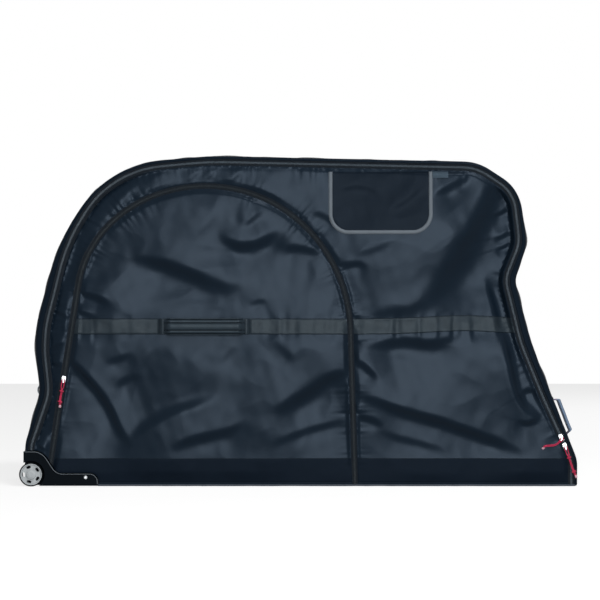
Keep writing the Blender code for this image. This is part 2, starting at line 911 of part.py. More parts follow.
def front_trim(name, outline, thickness, look, pivot, cut=False):
    """A flat piece lying on the front face."""
    near = face_y(FRONT, -seat_gap - thickness)
    piece = plate(name, outline, near, face_y(FRONT, -seat_gap), world_point(pivot))
    if cut:
        modify(piece, "DIFFERENCE", notch_tool)
    return finish(piece, look, pivot)


def band_outline(left_path, right_path, low, high, margin):
    """A strip between two lines and two heights, held back from the lines by a margin."""
    left_low = crossings(left_path, low)[0] + margin
    left_high = crossings(left_path, high)[0] + margin
    right_low = crossings(right_path, low)[1] - margin
    right_high = crossings(right_path, high)[1] - margin
    return [Vector(p) for p in (
        (left_low, low), (right_low, low), (right_high, high), (left_high, high),
    )]


def build_front_panel(pivot):
    """The big front panel, shaped like an arch round the wheel pocket's flap."""
    outer = beside(main_zip_line, main_edge)
    inner = beside(arch_line, -arch_edge)
    outline = outer + list(reversed(inner))
    place = world_point(pivot)
    panel = plate("front_panel", outline, face_y(FRONT, 0), face_y(FRONT, fabric), place)
    modify(panel, "DIFFERENCE", notch_tool)
    finish(panel, SHELL, pivot)
    zip_half(("main_zip_inner_teeth", "main_zip_inner_tape"), main_zip_line, 1, main_edge, pivot)
    zip_half(("arch_zip_outer_teeth", "arch_zip_outer_tape"), arch_line, -1, arch_edge, pivot)
    right_leg = inner[arch_quarter_steps + 2:]
    low = foot + band_foot_gap
    band = band_outline(right_leg, outer, low, band_height, webbing_end_margin)
    front_trim("front_panel_band", band, band_thickness, BASE_CLOTH, pivot)
    half_width = webbing_width / 2
    strip = band_outline(
        right_leg, outer, webbing_height - half_width, webbing_height + half_width,
        webbing_end_margin,
    )
    front_trim("front_panel_webbing", strip, webbing_thickness, WEBBING, pivot)
    wheel_pocket = tray(
        "front_wheel_pocket",
        pocket_outline(),
        face_y(FRONT, pocket_mouth),
        face_y(FRONT, pocket_mouth + pocket_depth),
        pocket_wall,
        place,
    )
    finish(wheel_pocket, LINING, pivot)


def build_patch(pivot):
    """A plain cloth patch under the top seam, edged with flat reflective piping."""
    left = body_left + patch_left_share * body_length
    right = body_left + patch_right_share * body_length
    panel_top = beside(main_zip_line, main_edge)
    top = max(p.y for p in panel_top if left < p.x < right + patch_drop) - patch_top_gap
    low = top - patch_drop
    edge_line = rounded_path((
        (right, top, 0),
        (right, low, patch_corner_radius),
        (left, low, patch_corner_radius),
        (left, top, 0),
    ))
    inside = beside(edge_line, patch_piping_width + seat_gap)
    front_trim("name_patch", inside, patch_thickness, SHELL, pivot)
    front_y = face_y(FRONT, -seat_gap - patch_piping_thickness)
    back_y = face_y(FRONT, -seat_gap)
    width = patch_piping_width
    section = ((0, back_y), (width / 4, front_y), (width * 3 / 4, front_y), (width, back_y))
    piping = ribbon("name_patch_piping", edge_line, section, world_point(pivot))
    finish(piping, PIPING, pivot)
    tab_left = body_left + tab_left_share * body_length + seat_gap
    tab_right = body_left + tab_right_share * body_length
    tab = [Vector(p) for p in (
        (tab_left, top - tab_drop), (tab_right, top - tab_drop), (tab_right, top), (tab_left, top),
    )]
    front_trim("hang_tab", tab, tab_thickness, TAB, pivot)


def webbing_strip(name, spot, ends, bumps, width, look, place, pivot):
    """A flat strip of webbing with sewn folds standing on it, from (low, high) along the spot."""
    start, end = ends
    surface = seat_gap + webbing_thickness
    outline = [(start, seat_gap), (end, seat_gap), (end, surface)]
    for low, high in sorted(bumps, reverse=True):
        outline += [
            (high, surface), (high - (0 if high < 0 else anchor_ramp), anchor_height),
            (low + (0 if low > 0 else anchor_ramp), anchor_height), (low, surface),
        ]
    outline.append((start, surface))
    strip = spot_prism(name, spot, outline, -width / 2, width / 2, place)
    return finish(strip, look, pivot)


def grip(name, spot, length, width, thickness, proud, look, pivot):
    """A handle that rises from its sewn ends to a flat middle, its width drawn in at the ends."""
    rings = []
    for along_share, proud_share, width_share in grip_station_shares:
        along = along_share * length
        middle = handle_axis_proud + proud_share * (proud - handle_axis_proud - thickness / 2)
        half_width = width_share * width / 2
        half = thickness / 2
        corner = half / 2
        rings.append([
            spot.at(along, middle + p, b)
            for p, b in (
                (-half, -half_width + corner), (-half, half_width - corner),
                (-corner, half_width), (corner, half_width),
                (half, half_width - corner), (half, -half_width + corner),
                (corner, -half_width), (-corner, -half_width),
            )
        ])
    handle = loft(name, rings, world_point(pivot), smooth_angle=math.radians(50))
    return finish(handle, look, pivot)


def handle_bumps(length):
    """Where a handle's two sewn folds stand, just past its ends."""
    near = length / 2 + seat_gap
    return ((-near - anchor_length, -near), (near, near + anchor_length))


def carry_handle(side, label, pivot_parent, strip_ends, strip_name, strip_pivot):
    """The webbing across a face and the padded handle sewn on it."""
    x = body_left + handle_from_left
    face = Vector((x, face_y(side, 0), webbing_height))
    spot = Spot(face, Vector((1, 0, 0)), Vector((0, side, 0)))
    place = origin if strip_pivot is None else world_point(strip_pivot)
    webbing_strip(
        strip_name, spot, [end - x for end in strip_ends], handle_bumps(handle_length),
        webbing_width, WEBBING, place, strip_pivot,
    )
    axis_point = spot.at(0, handle_axis_proud, 0)
    pivot = pivot_at(f"carry_handle_{label}_pivot", axis_point, pivot_parent)
    grip(
        f"carry_handle_{label}", spot, handle_length, handle_width, handle_thickness,
        handle_proud, WEBBING, pivot,
    )


def build_flap(pivot):
    """The wheel pocket's flap with its half of the zip, its band, its webbing and its handle."""
    place = world_point(pivot)
    flap = plate("front_flap", flap_line, face_y(FRONT, 0), face_y(FRONT, fabric), place)
    modify(flap, "DIFFERENCE", notch_tool)
    finish(flap, SHELL, pivot)
    zip_half(("arch_zip_inner_teeth", "arch_zip_inner_tape"), arch_line, 1, arch_edge, pivot)
    low = foot + band_foot_gap
    band = band_outline(flap_line, flap_line, low, band_height, webbing_end_margin)
    front_trim("front_flap_band", band, band_thickness, BASE_CLOTH, pivot, cut=True)
    half_width = webbing_width / 2
    left_end = crossings(flap_line, webbing_height + half_width)[0] + webbing_end_margin
    right_end = crossings(flap_line, webbing_height + half_width)[1] - webbing_end_margin
    carry_handle(FRONT, "front", pivot, (left_end, right_end), "front_flap_webbing", pivot)


def build_back_trim():
    """The webbing and handle on the back, and the pocket inside it for the second wheel."""
    outline = beside(shell_line, back_lip + seat_gap)
    half_width = webbing_width / 2
    heights = (webbing_height - half_width, webbing_height + half_width)
    left_end = max(crossings(outline, h)[0] for h in heights) + webbing_end_margin
    right_end = min(crossings(outline, h)[1] for h in heights) - webbing_end_margin
    carry_handle(BACK, "back", None, (left_end, right_end), "back_webbing", None)
    sleeve = tray(
        "back_wheel_sleeve",
        pocket_outline(),
        face_y(BACK, tape_depth),
        face_y(BACK, tape_depth + pocket_depth),
        pocket_wall,
        origin,
    )
    mouth = box_tool(
        "sleeve_mouth_tool",
        Vector((body_left, face_y(BACK, 2 * pocket_depth), sleeve_height_share * arch_top)),
        Vector((body_right, face_y(BACK, -cut_overrun), bag_height)),
    )
    modify(sleeve, "DIFFERENCE", mouth)
    finish(sleeve, LINING)


# Wheels

def hub_holes(side, name, centre_z):
    """Five short slots round the hub, as one cutting tool."""
    circle = hub_hole_circle_share * (wheel_radius - tyre_thickness)
    builder = bmesh.new()
    for count in range(hub_hole_count):
        angle = hub_first_hole + 2 * math.pi * count / hub_hole_count
        outward = Vector((math.cos(angle), math.sin(angle)))
        sideways = Vector((-outward.y, outward.x))
        centre = Vector((wheel_x, centre_z)) + outward * circle
        outline = []
        for end in (1, -1):
            for step in range(5):
                turn = math.pi * step / 4 - math.pi / 2
                arm = sideways * math.cos(turn) * end + outward * math.sin(turn) * end
                outline.append(centre + sideways * hub_hole_slot * end + arm * hub_hole_radius)
        rows = []
        for depth in (-cut_overrun, wheel_width + cut_overrun):
            rows.append([builder.verts.new((p.x, face_y(side, depth), p.y)) for p in outline])
        for index in range(len(outline)):
            after = (index + 1) % len(outline)
            builder.faces.new((rows[0][index], rows[0][after], rows[1][after], rows[1][index]))
        builder.faces.new(rows[0])
        builder.faces.new(rows[1])
    return as_tool(new_object(name, builder, origin))


def build_wheel(side, label):
    """A wheel on its axle: a spoked hub with five slots, a tyre, and an axle with a domed cap."""
    near = -wheel_proud
    far = wheel_width - wheel_proud
    centre = Vector((wheel_x, 0, wheel_radius))
    pivot = pivot_at(f"wheel_{label}_pivot", centre + Vector((0, face_y(side, 0), 0)))
    place = world_point(pivot)
    tyre_inner = wheel_radius - tyre_thickness
    rim_outer = tyre_inner - seat_gap
    rim_inner = rim_outer - hub_rim
    web_near = near + hub_web_recess
    web_far = web_near + hub_web
    hub_profile = (
        (wheel_bore, near), (hub_boss_radius, near), (hub_boss_radius, web_near),
        (rim_inner, web_near), (rim_inner + hub_rim / 2, near), (rim_outer, near),
        (rim_outer, far), (rim_inner, far), (rim_inner, web_far),
        (hub_boss_radius, web_far), (hub_boss_radius, far), (wheel_bore, far),
    )
    profile = [(radius, face_y(side, depth)) for radius, depth in hub_profile]
    hub = turned(f"wheel_hub_{label}", profile, wheel_x, wheel_radius, place)
    modify(hub, "DIFFERENCE", hub_holes(side, f"hub_slots_tool_{label}", wheel_radius))
    finish(hub, SILVER, pivot)
    shoulder = wheel_radius - tyre_crown
    tyre_profile = (
        (tyre_inner, near), (shoulder, near), (wheel_radius, near + hub_web),
        (wheel_radius, far - hub_web), (shoulder, far), (tyre_inner, far),
    )
    profile = [(radius, face_y(side, depth)) for radius, depth in tyre_profile]
    tyre = turned(f"wheel_tyre_{label}", profile, wheel_x, wheel_radius, place)
    finish(tyre, RUBBER, pivot)
    cap_back = near - seat_gap
    tail = well_block_depth + seat_gap
    pin_profile = [
        (share * axle_cap_radius, cap_back - height_share * axle_cap_height)
        for share, height_share in axle_dome_shares
    ]
    pin_profile += [
        (axle_cap_radius, cap_back), (axle_radius, cap_back), (axle_radius, tail),
        (axle_tail_radius, tail), (axle_tail_radius, tail + axle_tail_thickness),
    ]
    profile = [(radius, face_y(side, depth)) for radius, depth in pin_profile]
    axle = turned_pin(f"wheel_axle_{label}", profile, wheel_x, wheel_radius, origin, segments=24)
    finish(axle, SILVER)


def build_bracket(side, label):
    """The moulded corner bracket: a swept shell with a wheel well, a side return and a rim."""
    shell = tray(
        f"wheel_bracket_{label}",
        bracket_outline(bracket_left, bracket_foot, 0),
        face_y(side, -seat_gap),
        face_y(side, -bracket_proud),
        bracket_wall,
        origin,
    )
    block_radius = well_radius + bracket_wall
    block = as_tool(plate(
        f"well_block_tool_{label}",
        well_outline(block_radius, bracket_left, bracket_foot),
        face_y(side, -bracket_proud + bracket_wall / 2),
        face_y(side, well_block_depth),
        origin,
    ))
    arch_side = wheel_radius + math.sqrt(well_radius ** 2 - (wheel_x - bracket_left) ** 2)
    side_return = box_tool(
        f"bracket_return_tool_{label}",
        Vector((bracket_left, min(face_y(side, -bracket_wall), face_y(side, bracket_return)),
                arch_side)),
        Vector((bracket_left + bracket_wall,
                max(face_y(side, -bracket_wall), face_y(side, bracket_return)),
                bracket_height)),
    )
    top_line = bracket_outline(bracket_left, bracket_foot, 0)[:-1]
    front_y = face_y(side, -bracket_proud - bracket_rim_proud)
    sunk_y = face_y(side, -bracket_proud + bracket_rim_proud)
    rim_section = (
        (seat_gap, sunk_y), (seat_gap, front_y),
        (bracket_rim_width, front_y), (bracket_rim_width + seat_gap, sunk_y),
    )
    rim = as_tool(ribbon(f"bracket_rim_tool_{label}", top_line, rim_section, origin))
    void_profile = [
        (well_radius, face_y(side, -cut_overrun)), (well_radius, face_y(side, well_depth)),
    ]
    void = as_tool(turned_pin(
        f"wheel_void_tool_{label}", void_profile, wheel_x, wheel_radius, origin,
    ))
    bore_radius = axle_radius + seat_gap
    bore_profile = [
        (bore_radius, face_y(side, 0)), (bore_radius, face_y(side, well_block_depth + cut_overrun)),
    ]
    bore = as_tool(turned_pin(
        f"axle_hole_tool_{label}", bore_profile, wheel_x, wheel_radius, origin, segments=24,
    ))
    for tool in (block, side_return, rim):
        modify(shell, "UNION", tool)
    for tool in (void, bore, rivet_tools[side]):
        modify(shell, "DIFFERENCE", tool)
    finish(shell, MOULDING)
    head = -bracket_proud - seat_gap
    tail = fabric + seat_gap
    rivet_profile = [
        (share * rivet_head_radius, head - height_share * rivet_head_height)
        for share, height_share in rivet_dome_shares
    ]
    rivet_profile += [
        (rivet_head_radius, head), (rivet_shank_radius, head), (rivet_shank_radius, tail),
        (rivet_head_radius, tail), (rivet_head_radius, tail + rivet_tail_thickness),
    ]
    profile = [(radius, face_y(side, depth)) for radius, depth in rivet_profile]
    x = bracket_end - rivet_from_end
    rivet = turned_pin(f"bracket_rivet_{label}", profile, x, rivet_height, origin, segments=12)
    finish(rivet, CHROME)


# Ends of the bag

def build_ring_tab(spot):
    """A fold of webbing sewn to the bag's end, with a round hole along it for the ring's bar."""
    width = ring_tab_width
    depth = ring_tab_depth
    proud = ring_tab_proud
    shoulder = ring_tab_shoulder_share * proud
    hole_radius = ring_wire_radius + ring_turning_gap
    section = [
        (depth / 2, seat_gap), (depth / 2, shoulder), (depth / 4, proud),
        (-depth / 4, proud), (-depth / 2, shoulder), (-depth / 2, seat_gap),
    ]
    rings = []
    for along in (-width / 2, width / 2):
        rings.append([spot.at(along, p, across) for across, p in section])
    fold = loft("ring_tab", rings, origin)
    hole_rings = []
    for along in (-width, width):
        hole_rings.append([
            spot.at(
                along,
                proud / 2 + hole_radius * math.sin(2 * math.pi * step / ring_hole_sides),
                hole_radius * math.cos(2 * math.pi * step / ring_hole_sides),
            )
            for step in range(ring_hole_sides)
        ])
    modify(fold, "DIFFERENCE", as_tool(loft("ring_tab_hole_tool", hole_rings, origin)))
    finish(fold, DARK_WEBBING)


def build_side_loop(spot):
    """A loop of webbing that stands on the bag's end, open from front to back."""
    half = side_loop_length / 2
    low = seat_gap
    shoulder = side_loop_proud - side_loop_chamfer
    outline = (
        (-half, low), (half, low), (half, shoulder), (half - side_loop_chamfer, side_loop_proud),
        (-half + side_loop_chamfer, side_loop_proud), (-half, shoulder),
    )
    half_width = side_loop_width / 2
    loop = spot_prism("side_loop", spot, outline, -half_width, half_width, origin)
    gap_half = half - side_loop_leg
    gap_low = low + side_loop_sole
    gap_outline = (
        (-gap_half, gap_low), (gap_half, gap_low),
        (gap_half, gap_low + side_loop_gap), (-gap_half, gap_low + side_loop_gap),
    )
    gap = as_tool(spot_prism(
        "side_loop_gap_tool", spot, gap_outline, -side_loop_width, side_loop_width, origin,
    ))
    modify(loop, "DIFFERENCE", gap)
    finish(loop, DARK_WEBBING)


def build_ends():
    """The ring in its tab, the side loop at the waist, and the tow handle by the lifted end."""
    hollow_radius = outline_shares[1][2] * bag_height
    hollow_rise = ring_tab_width ** 2 / (8 * hollow_radius)
    ring_spot = end_spot(shell_line, ring_height, False, hollow_rise)
    bar_proud = ring_tab_proud / 2
    build_ring_tab(ring_spot)
    pivot = pivot_at("d_ring_pivot", ring_spot.at(0, bar_proud, 0))
    half = ring_width / 2 - ring_wire_radius
    points = [ring_spot.at(-half, bar_proud, 0), ring_spot.at(half, bar_proud, 0)]
    for step in range(1, 12):
        angle = math.pi * step / 12
        points.append(ring_spot.at(
            half * math.cos(angle), bar_proud + ring_reach * math.sin(angle), 0,
        ))
    ring = closed_wire("d_ring", points, ring_wire_radius, ring_spot.across, world_point(pivot))
    finish(ring, CHROME, pivot)
    build_side_loop(end_spot(shell_line, side_loop_height, True))
    tow_spot = end_spot(shell_line, tow_height, True)
    bumps = handle_bumps(tow_length)
    strip_end = bumps[1][1] + webbing_end_margin
    webbing_strip(
        "tow_handle_strip", tow_spot, (-strip_end, strip_end), bumps,
        tow_strip_width, DARK_WEBBING, origin, None,
    )
    pivot = pivot_at("tow_handle_pivot", tow_spot.at(0, handle_axis_proud, 0))
    grip("tow_handle", tow_spot, tow_length, tow_width, tow_thickness, tow_proud, TOW, pivot)


# Sliders and their cords

def hanging_route(extra_length, drift_share):
    """The route of a cord that hangs from its slider, longer or leaning more than the first."""
    route = []
    for along, proud, across, share in hanging_tail:
        reach = along + extra_length
        route.append((reach, proud, across + drift_share * reach, share))
    for along, proud, across, share in hanging_loop:
        drift = drift_share * max(0, along - loop_shoulder)
        route.append((along, proud, across + drift, share))
    return route


def build_slider(name, pull_name, spot, route, parent):
    """A slider astride the teeth, with a bail on it and a knotted cord through the bail."""
    plate_low = seat_gap - teeth_depth
    plate_top = plate_low + slider_plate
    flange_foot = seat_gap - tape_depth
    chamfer = slider_plate / 2
    pivot = pivot_at(f"{name}_pivot", spot.origin, parent)
    rings = []
    for along_share, width_share in slider_station_shares:
        wide = slider_half_width * width_share
        inner = slider_flange_inner
        section = (
            (-wide + chamfer, plate_top), (wide - chamfer, plate_top), (wide, plate_top - chamfer),
            (wide, flange_foot), (inner, flange_foot), (inner, plate_low),
            (-inner, plate_low), (-inner, flange_foot), (-wide, flange_foot),
            (-wide, plate_top - chamfer),
        )
        rings.append([spot.at(along_share * slider_length, p, b) for b, p in section])
    slider = loft(name, rings, world_point(pivot), smooth_angle=math.radians(30))
    sunk = plate_top - chamfer
    hole_top = plate_top + bail_hole_height
    bail_top = hole_top + bail_bar
    outline = (
        (-bail_back, sunk), (-bail_back, bail_top - chamfer), (-bail_back + chamfer, bail_top),
        (bail_reach + bail_leg - chamfer, bail_top), (bail_reach + bail_leg, bail_top - chamfer),
        (bail_reach + bail_leg, sunk), (bail_reach, sunk), (bail_reach, hole_top),
        (-bail_back + bail_leg, hole_top), (-bail_back + bail_leg, sunk),
    )
    bail = as_tool(spot_prism(
        f"{name}_bail_tool", spot, outline, -bail_half_width, bail_half_width, origin,
    ))
    modify(slider, "UNION", bail)
    finish(slider, CHROME, pivot)
    axis_proud = plate_top + seat_gap + cord_radius
    pull_pivot = pivot_at(f"{pull_name}_pivot", spot.at(0, axis_proud, 0), pivot)
    points = []
    radii = []
    for along, proud, across, share in route:
        points.append(spot.at(along, proud, across))
        radii.append(cord_radius * share)
    pull = tube(pull_name, points, radii, world_point(pull_pivot))
    finish(pull, CORD, pull_pivot)


# Straps inside

def build_frame_straps():
    """Two straps lying on the pad, each threaded through its buckle."""
    for sign, label in ((-1, "left"), (1, "right")):
        x = sign * frame_strap_offset
        strap_low = pad_top + 2 * seat_gap + buckle_wall
        half_width = frame_strap_width / 2
        strap = [Vector(p) for p in (
            (x - half_width, strap_low), (x + half_width, strap_low),
            (x + half_width, strap_low + frame_strap_thickness),
            (x - half_width, strap_low + frame_strap_thickness),
        )]
        half_length = frame_strap_length / 2
        finish(plate(f"frame_strap_{label}", strap, -half_length, half_length, origin), WEBBING)
        slot_half = half_width + seat_gap
        slot_low = strap_low - seat_gap
        slot_high = strap_low + frame_strap_thickness + seat_gap
        slot = box_tool(
            f"buckle_slot_tool_{label}",
            Vector((x - slot_half, -buckle_length, slot_low)),
            Vector((x + slot_half, buckle_length, slot_high)),
        )
        outer_half = slot_half + buckle_wall
        outline = [Vector(p) for p in (
            (x - outer_half, pad_top + seat_gap), (x + outer_half, pad_top + seat_gap),
            (x + outer_half, slot_high), (x + slot_half, slot_high + buckle_wall),
            (x - slot_half, slot_high + buckle_wall), (x - outer_half, slot_high),
        )]
        buckle = plate(
            f"frame_buckle_{label}", outline, -buckle_length / 2, buckle_length / 2, origin,
        )
        modify(buckle, "DIFFERENCE", slot)
        finish(buckle, MOULDING)


def build_bag():
    """The whole bag, shell first and then what moves on it."""
    build_gussets()
    build_back_panel()
    build_base()
    build_front_corner()
    zip_half(("main_zip_outer_teeth", "main_zip_outer_tape"), main_zip_line, -1, main_edge, None)
    hinge_point = Vector((0, face_y(FRONT, 0), foot))
    panel_pivot = pivot_at("front_panel_pivot", hinge_point)
    build_front_panel(panel_pivot)
    build_patch(panel_pivot)
    flap_pivot = pivot_at("front_flap_pivot", hinge_point, panel_pivot)
    build_flap(flap_pivot)
    build_back_trim()
    for side, label in ((FRONT, "front"), (BACK, "back")):
        build_wheel(side, label)
        build_bracket(side, label)
    build_ends()
    sliders = (
        ("arch_slider", "arch_pull", zip_spot(arch_line, arch_slider_height, False),
         hanging_route(0, 0), flap_pivot),
        ("upper_slider", "upper_pull", zip_spot(main_zip_line, upper_slider_height, True),
         side_route, panel_pivot),
        ("lower_slider", "lower_pull", zip_spot(main_zip_line, lower_slider_height, True),
         hanging_route(lower_pull_extra, lower_pull_drift_share), panel_pivot),
    )
    for name, pull_name, spot, route, parent in sliders:
        build_slider(name, pull_name, spot, route, parent)
    build_frame_straps()


build_bag()
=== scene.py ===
"""The looks of the soft bike travel bag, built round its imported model.

Metres, +Z up. The bag's front faces -Y, its wheels are at -X and the end that is lifted at +X.
Cloth on the front and back is drawn flat as (x, z), then raised by one relief that all the
pieces lying on it share.
"""

import math

import bmesh
import bpy
import numpy as np
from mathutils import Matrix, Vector
from mathutils.geometry import delaunay_2d_cdt
from mathutils.kdtree import KDTree


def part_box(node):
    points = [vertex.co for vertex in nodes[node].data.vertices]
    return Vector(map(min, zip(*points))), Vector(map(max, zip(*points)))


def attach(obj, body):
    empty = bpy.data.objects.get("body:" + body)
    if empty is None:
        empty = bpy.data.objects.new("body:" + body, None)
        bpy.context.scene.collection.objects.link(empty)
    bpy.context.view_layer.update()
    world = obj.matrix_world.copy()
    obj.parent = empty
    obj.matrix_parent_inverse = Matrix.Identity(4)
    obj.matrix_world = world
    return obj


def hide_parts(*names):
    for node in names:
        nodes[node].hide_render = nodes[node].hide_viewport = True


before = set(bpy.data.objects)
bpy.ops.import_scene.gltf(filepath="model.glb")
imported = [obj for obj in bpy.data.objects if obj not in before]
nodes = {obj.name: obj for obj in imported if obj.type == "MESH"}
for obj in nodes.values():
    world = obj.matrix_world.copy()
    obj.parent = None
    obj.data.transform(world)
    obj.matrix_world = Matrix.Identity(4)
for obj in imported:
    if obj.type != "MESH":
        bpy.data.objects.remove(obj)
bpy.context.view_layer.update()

FRONT = -1
BACK = 1

# Camera and light
millimetres = 1000
camera_place = (0.004, -5.13, 0.451)
camera_focal = 0.124
sensor_width = 0.036
camera_reach = 60
lamps = (
    ("key", (1.6, -2.2, 4.3), (1.2, 0.8), 120),
    ("front", (0.4, -5.6, 1.08), (2.4, 2.2), 360),
    ("rim", (2.5, 3.4, 2.6), (2.0, 2.0), 40),
)
lamp_target = (0, 0, 0.4)
world_level = 0.06
floor_size = 12
floor_colour = (0.30, 0.30, 0.30)
floor_glow = 0.78

# The bag's sizes, as in its solids
body_length = 1.337
bag_height = 0.798
half_depth = 0.130
body_left = -0.6616
body_right = body_left + body_length
foot = 0.0053
fabric = 0.003
outline_proportion = 1.675
outline_shares = (
    (0.000, 0.129, 0.121), (0.026, 0.287, 0.137), (0.013, 0.455, 0.364), (0.060, 0.748, 0.640),
    (0.154, 0.974, 0.330), (0.330, 1.003, 0.900), (0.820, 0.985, 0.152), (0.895, 0.903, 0.137),
    (0.910, 0.733, 0.137), (0.888, 0.627, 0.060), (0.917, 0.440, 0.550), (1.000, 0.080, 0.095),
)
zip_inset_shares = (
    (0.00, 0.0188), (0.12, 0.0188), (0.28, 0.0288), (0.45, 0.0326),
    (0.62, 0.0301), (0.78, 0.0226), (0.90, 0.0188), (1.10, 0.0188),
)
arc_step = math.radians(4)
chain_half = 0.003
main_edge = 0.008
arch_edge = 0.007
back_lip = 0.009

# Arch zip round the wheel pocket
arch_crown = -0.2236
arch_top = 0.727
arch_left_span = 0.311
arch_left_rise = 0.276
arch_right_span = 0.350
arch_right_rise = 0.361
arch_left_lean = 0.157
arch_right_lean = 0.030
arch_quarter_steps = 24

# Bracket's outline and the room round it
bracket_left = -0.6644
bracket_length = 0.1793
bracket_height = 0.0847
bracket_toe_height = 0.031
bracket_shoulder = 0.0443
bracket_instep = 0.0794
bracket_shoulder_radius = 0.0387
bracket_instep_radius = 0.029
bracket_toe_radius = 0.0194
swing_clearance = 0.0022
notch_overrun = 0.02
wheel_centre = (-0.6464, 0.029)
well_radius = 0.0366
well_depth = 0.0232
well_gap = 0.0005
corner_join = 0.03
corner_inset = 0.0002
corner_well_gap = 0.0003
bead_radius = 0.0008
rim_start = 0.002
rim_foot = 0.006
tyre_bead = 0.0017
tyre_bead_steps = 72
tyre_bead_sides = 10

# Mesh spacing and edges of the cloth
cloth_spacing = 0.0040
back_spacing = 0.007
trim_spacing = 0.005
tape_spacing = 0.0030
gusset_spacing = 0.008
base_spacing = 0.012
pad_spacing = 0.008
pocket_spacing = 0.02
corner_spacing = 0.006
guide_spacing = 0.012
rim_rows = (0.0011, 0.0026)
rim_room_share = 0.9
grid_room_share = 0.75
merge_distance = 1e-7
hem_drop = 0.0012
hem_reach = 0.0012
hem_share = 0.45
tube_sharp = math.radians(50)

# Broad shape of the cloth
overall_rise = 0.005
carrier_start = 0.06
carrier_end = 0.28
carrier_top = 0.2
pillow_rise = 0.005
pillow_reach = 0.05
least_room = 0.001
free_start = 0.001
free_end = 0.010
foot_free = 0.035
webbing_pull_share = 0.35
webbing_pull_reach = 0.035
calm_share = 0.75
calm_margin = (0.020, 0.005)
calm_reach = 0.03
tow_calm_share = 0.7
strip_sink = 0.014
strip_tuck = 0.0040
strip_right = -0.30
strip_ramp = 0.16
strip_low = 0.06
strip_high = 0.16

# How a fold is shaped, and the grid that softens the folds
fold_ramp_share = 0.34
reach_stretch = 1.5
crest_share = 0.34
fold_margin_share = 6
turn_blur = 0.006
relief_margin = 0.02
relief_pitch = 0.003
relief_softening = 2
groove_drop = 0.0040
groove_softness = 0.0050
groove_run = ((-0.604, 0.373), (-0.582, 0.380), (-0.562, 0.386))

# Small unevenness of the front cloth
crumple_rise = 0.0004
crumple_length = 0.11
ripple_rise = 0.00012
ripple_length = 0.045
broad_rise = 0.0022
broad_length = 0.26
pucker_rise = 0.0007
pucker_reach = 0.013
pucker_length = 0.017
pucker_start = 0.004
sway_rise = 0.0009
sway_length = 0.034
sway_reach = 0.024

# Back cloth
back_pillow_rise = 0.007
back_pillow_reach = 0.09
back_wave_rise = 0.0020
back_wave_length = 0.24
back_foot_free = 0.06
back_edge_free = 0.02
back_fold_share = 0.5
back_fold_shift = (-0.04, -0.02)
back_floor_softness = 0.0008
back_trim_gap = 0.001

# Band, webbing, name patch and tab
band_top = 0.068
band_foot = 0.0103
band_thickness = 0.0012
webbing_height = 0.387
webbing_half = 0.019
webbing_low = webbing_height - webbing_half
webbing_high = webbing_height + webbing_half
webbing_thickness = 0.0016
webbing_bow = 0.008
bow_middle = 0.400
bow_reach = 0.12
# Width of the dark line at the strips' edges: seam thread and painted shade
seam_and_shade_width = 0.0012
trim_gap = 0.0006
trim_tuck = 0.0006
right_leg_points = 60
patch_left = 0.0740
patch_right = 0.3234
patch_top = 0.7608
patch_drop = 0.150
patch_corner_radius = 0.048
patch_step = 0.006
patch_thickness = 0.0012
patch_piping_width = 0.008
piping_lap_share = 0.7
piping_proud = 0.0004
piping_crown = 0.0024
piping_thickness = 0.0008
tab_size = (0.038, 0.015)
tab_gap = 0.0004
tab_proud = 0.0012
tab_curl = 0.0016
tab_wave_rise = 0.0004
tab_wave_reach = 0.006
tab_thickness = 0.0009

# Zips: how far each ring of a tooth reaches and its share of the full size, then the tape
tooth_pitch = 0.0030
tooth_length = 0.0019
tooth_front = 0.0002
tooth_back = 0.0026
tooth_sides = 6
tooth_reaches = (-0.0004, 0.0004, 0.0015, 0.0023, 0.0028)
tooth_shares = (0.55, 0.95, 1.0, 0.85, 0.45)
tape_reaches = (0.0002, 0.0020, 0.0032, 0.0044, 0.0066, 0.0086, 0.0105)
tape_depths = (0.0026, 0.0022, 0.0018, 0.0012, 0.0011, 0.0022, 0.0032)
tape_tuck = 0.0025
tape_thickness = 0.0009

# Zip pulls
cord_diameter = 0.0024
cord_hint = (0.31, 0.9, 0.3)
arch_spot = (-0.56775, -0.13, 0.259)
arch_along = (-0.1551, 0, -0.9879)
arch_across = (-0.9879, 0, 0.1551)
upper_spot = (0.63609, -0.13, 0.1186)
lower_spot = (0.64527, -0.13, 0.0973)
side_along = (0.39583, 0, -0.91832)
side_across = (-0.91832, 0, -0.39583)
hanging_knots = ((0.0285, 0.0050, 0), (0.0550, 0.0050, 0))
side_knots = ((0.0036, 0.0044, 0.0450),)
lower_pull_extra = 0.012
lower_pull_drift_share = 0.1
loop_shoulder = 0.004
stretch_from = 0.03
knot_cord_radius = 0.0016
knot_turns = 1.3
knot_sway = 0.0016
knot_pitch = 0.0030
knot_half_width = 0.0039
knot_half_height = 0.0031
knot_floor = 0.0014
knot_twist = 1.3
tip_length = 0.0075
tip_radius = 0.0024
tip_shares = (-0.55, 0.45)
tip_round_share = 0.56
tip_end_share = 0.08
tip_flatness = 1.25

# Gusset
gusset_corner = 0.013
gusset_thickness = 0.0026
gusset_foot_drop = 0.002
gusset_middle = 0.35
wall_bulge = 0.004
bulge_ramp = 0.05
lip_tuck = 0.0014
lip_fold = 0.0012
lip_skin = 0.0001
lip_crown = 0.0006
lip_corner_share = 0.8
back_lip_lap = 0.001
back_lip_rise = 0.0002
fine_wrinkle_rise = 0.0006
fine_wrinkle_length = 0.07
wrinkle_rise = 0.0020
wrinkle_length = 0.15
wrinkle_ramp = 0.03

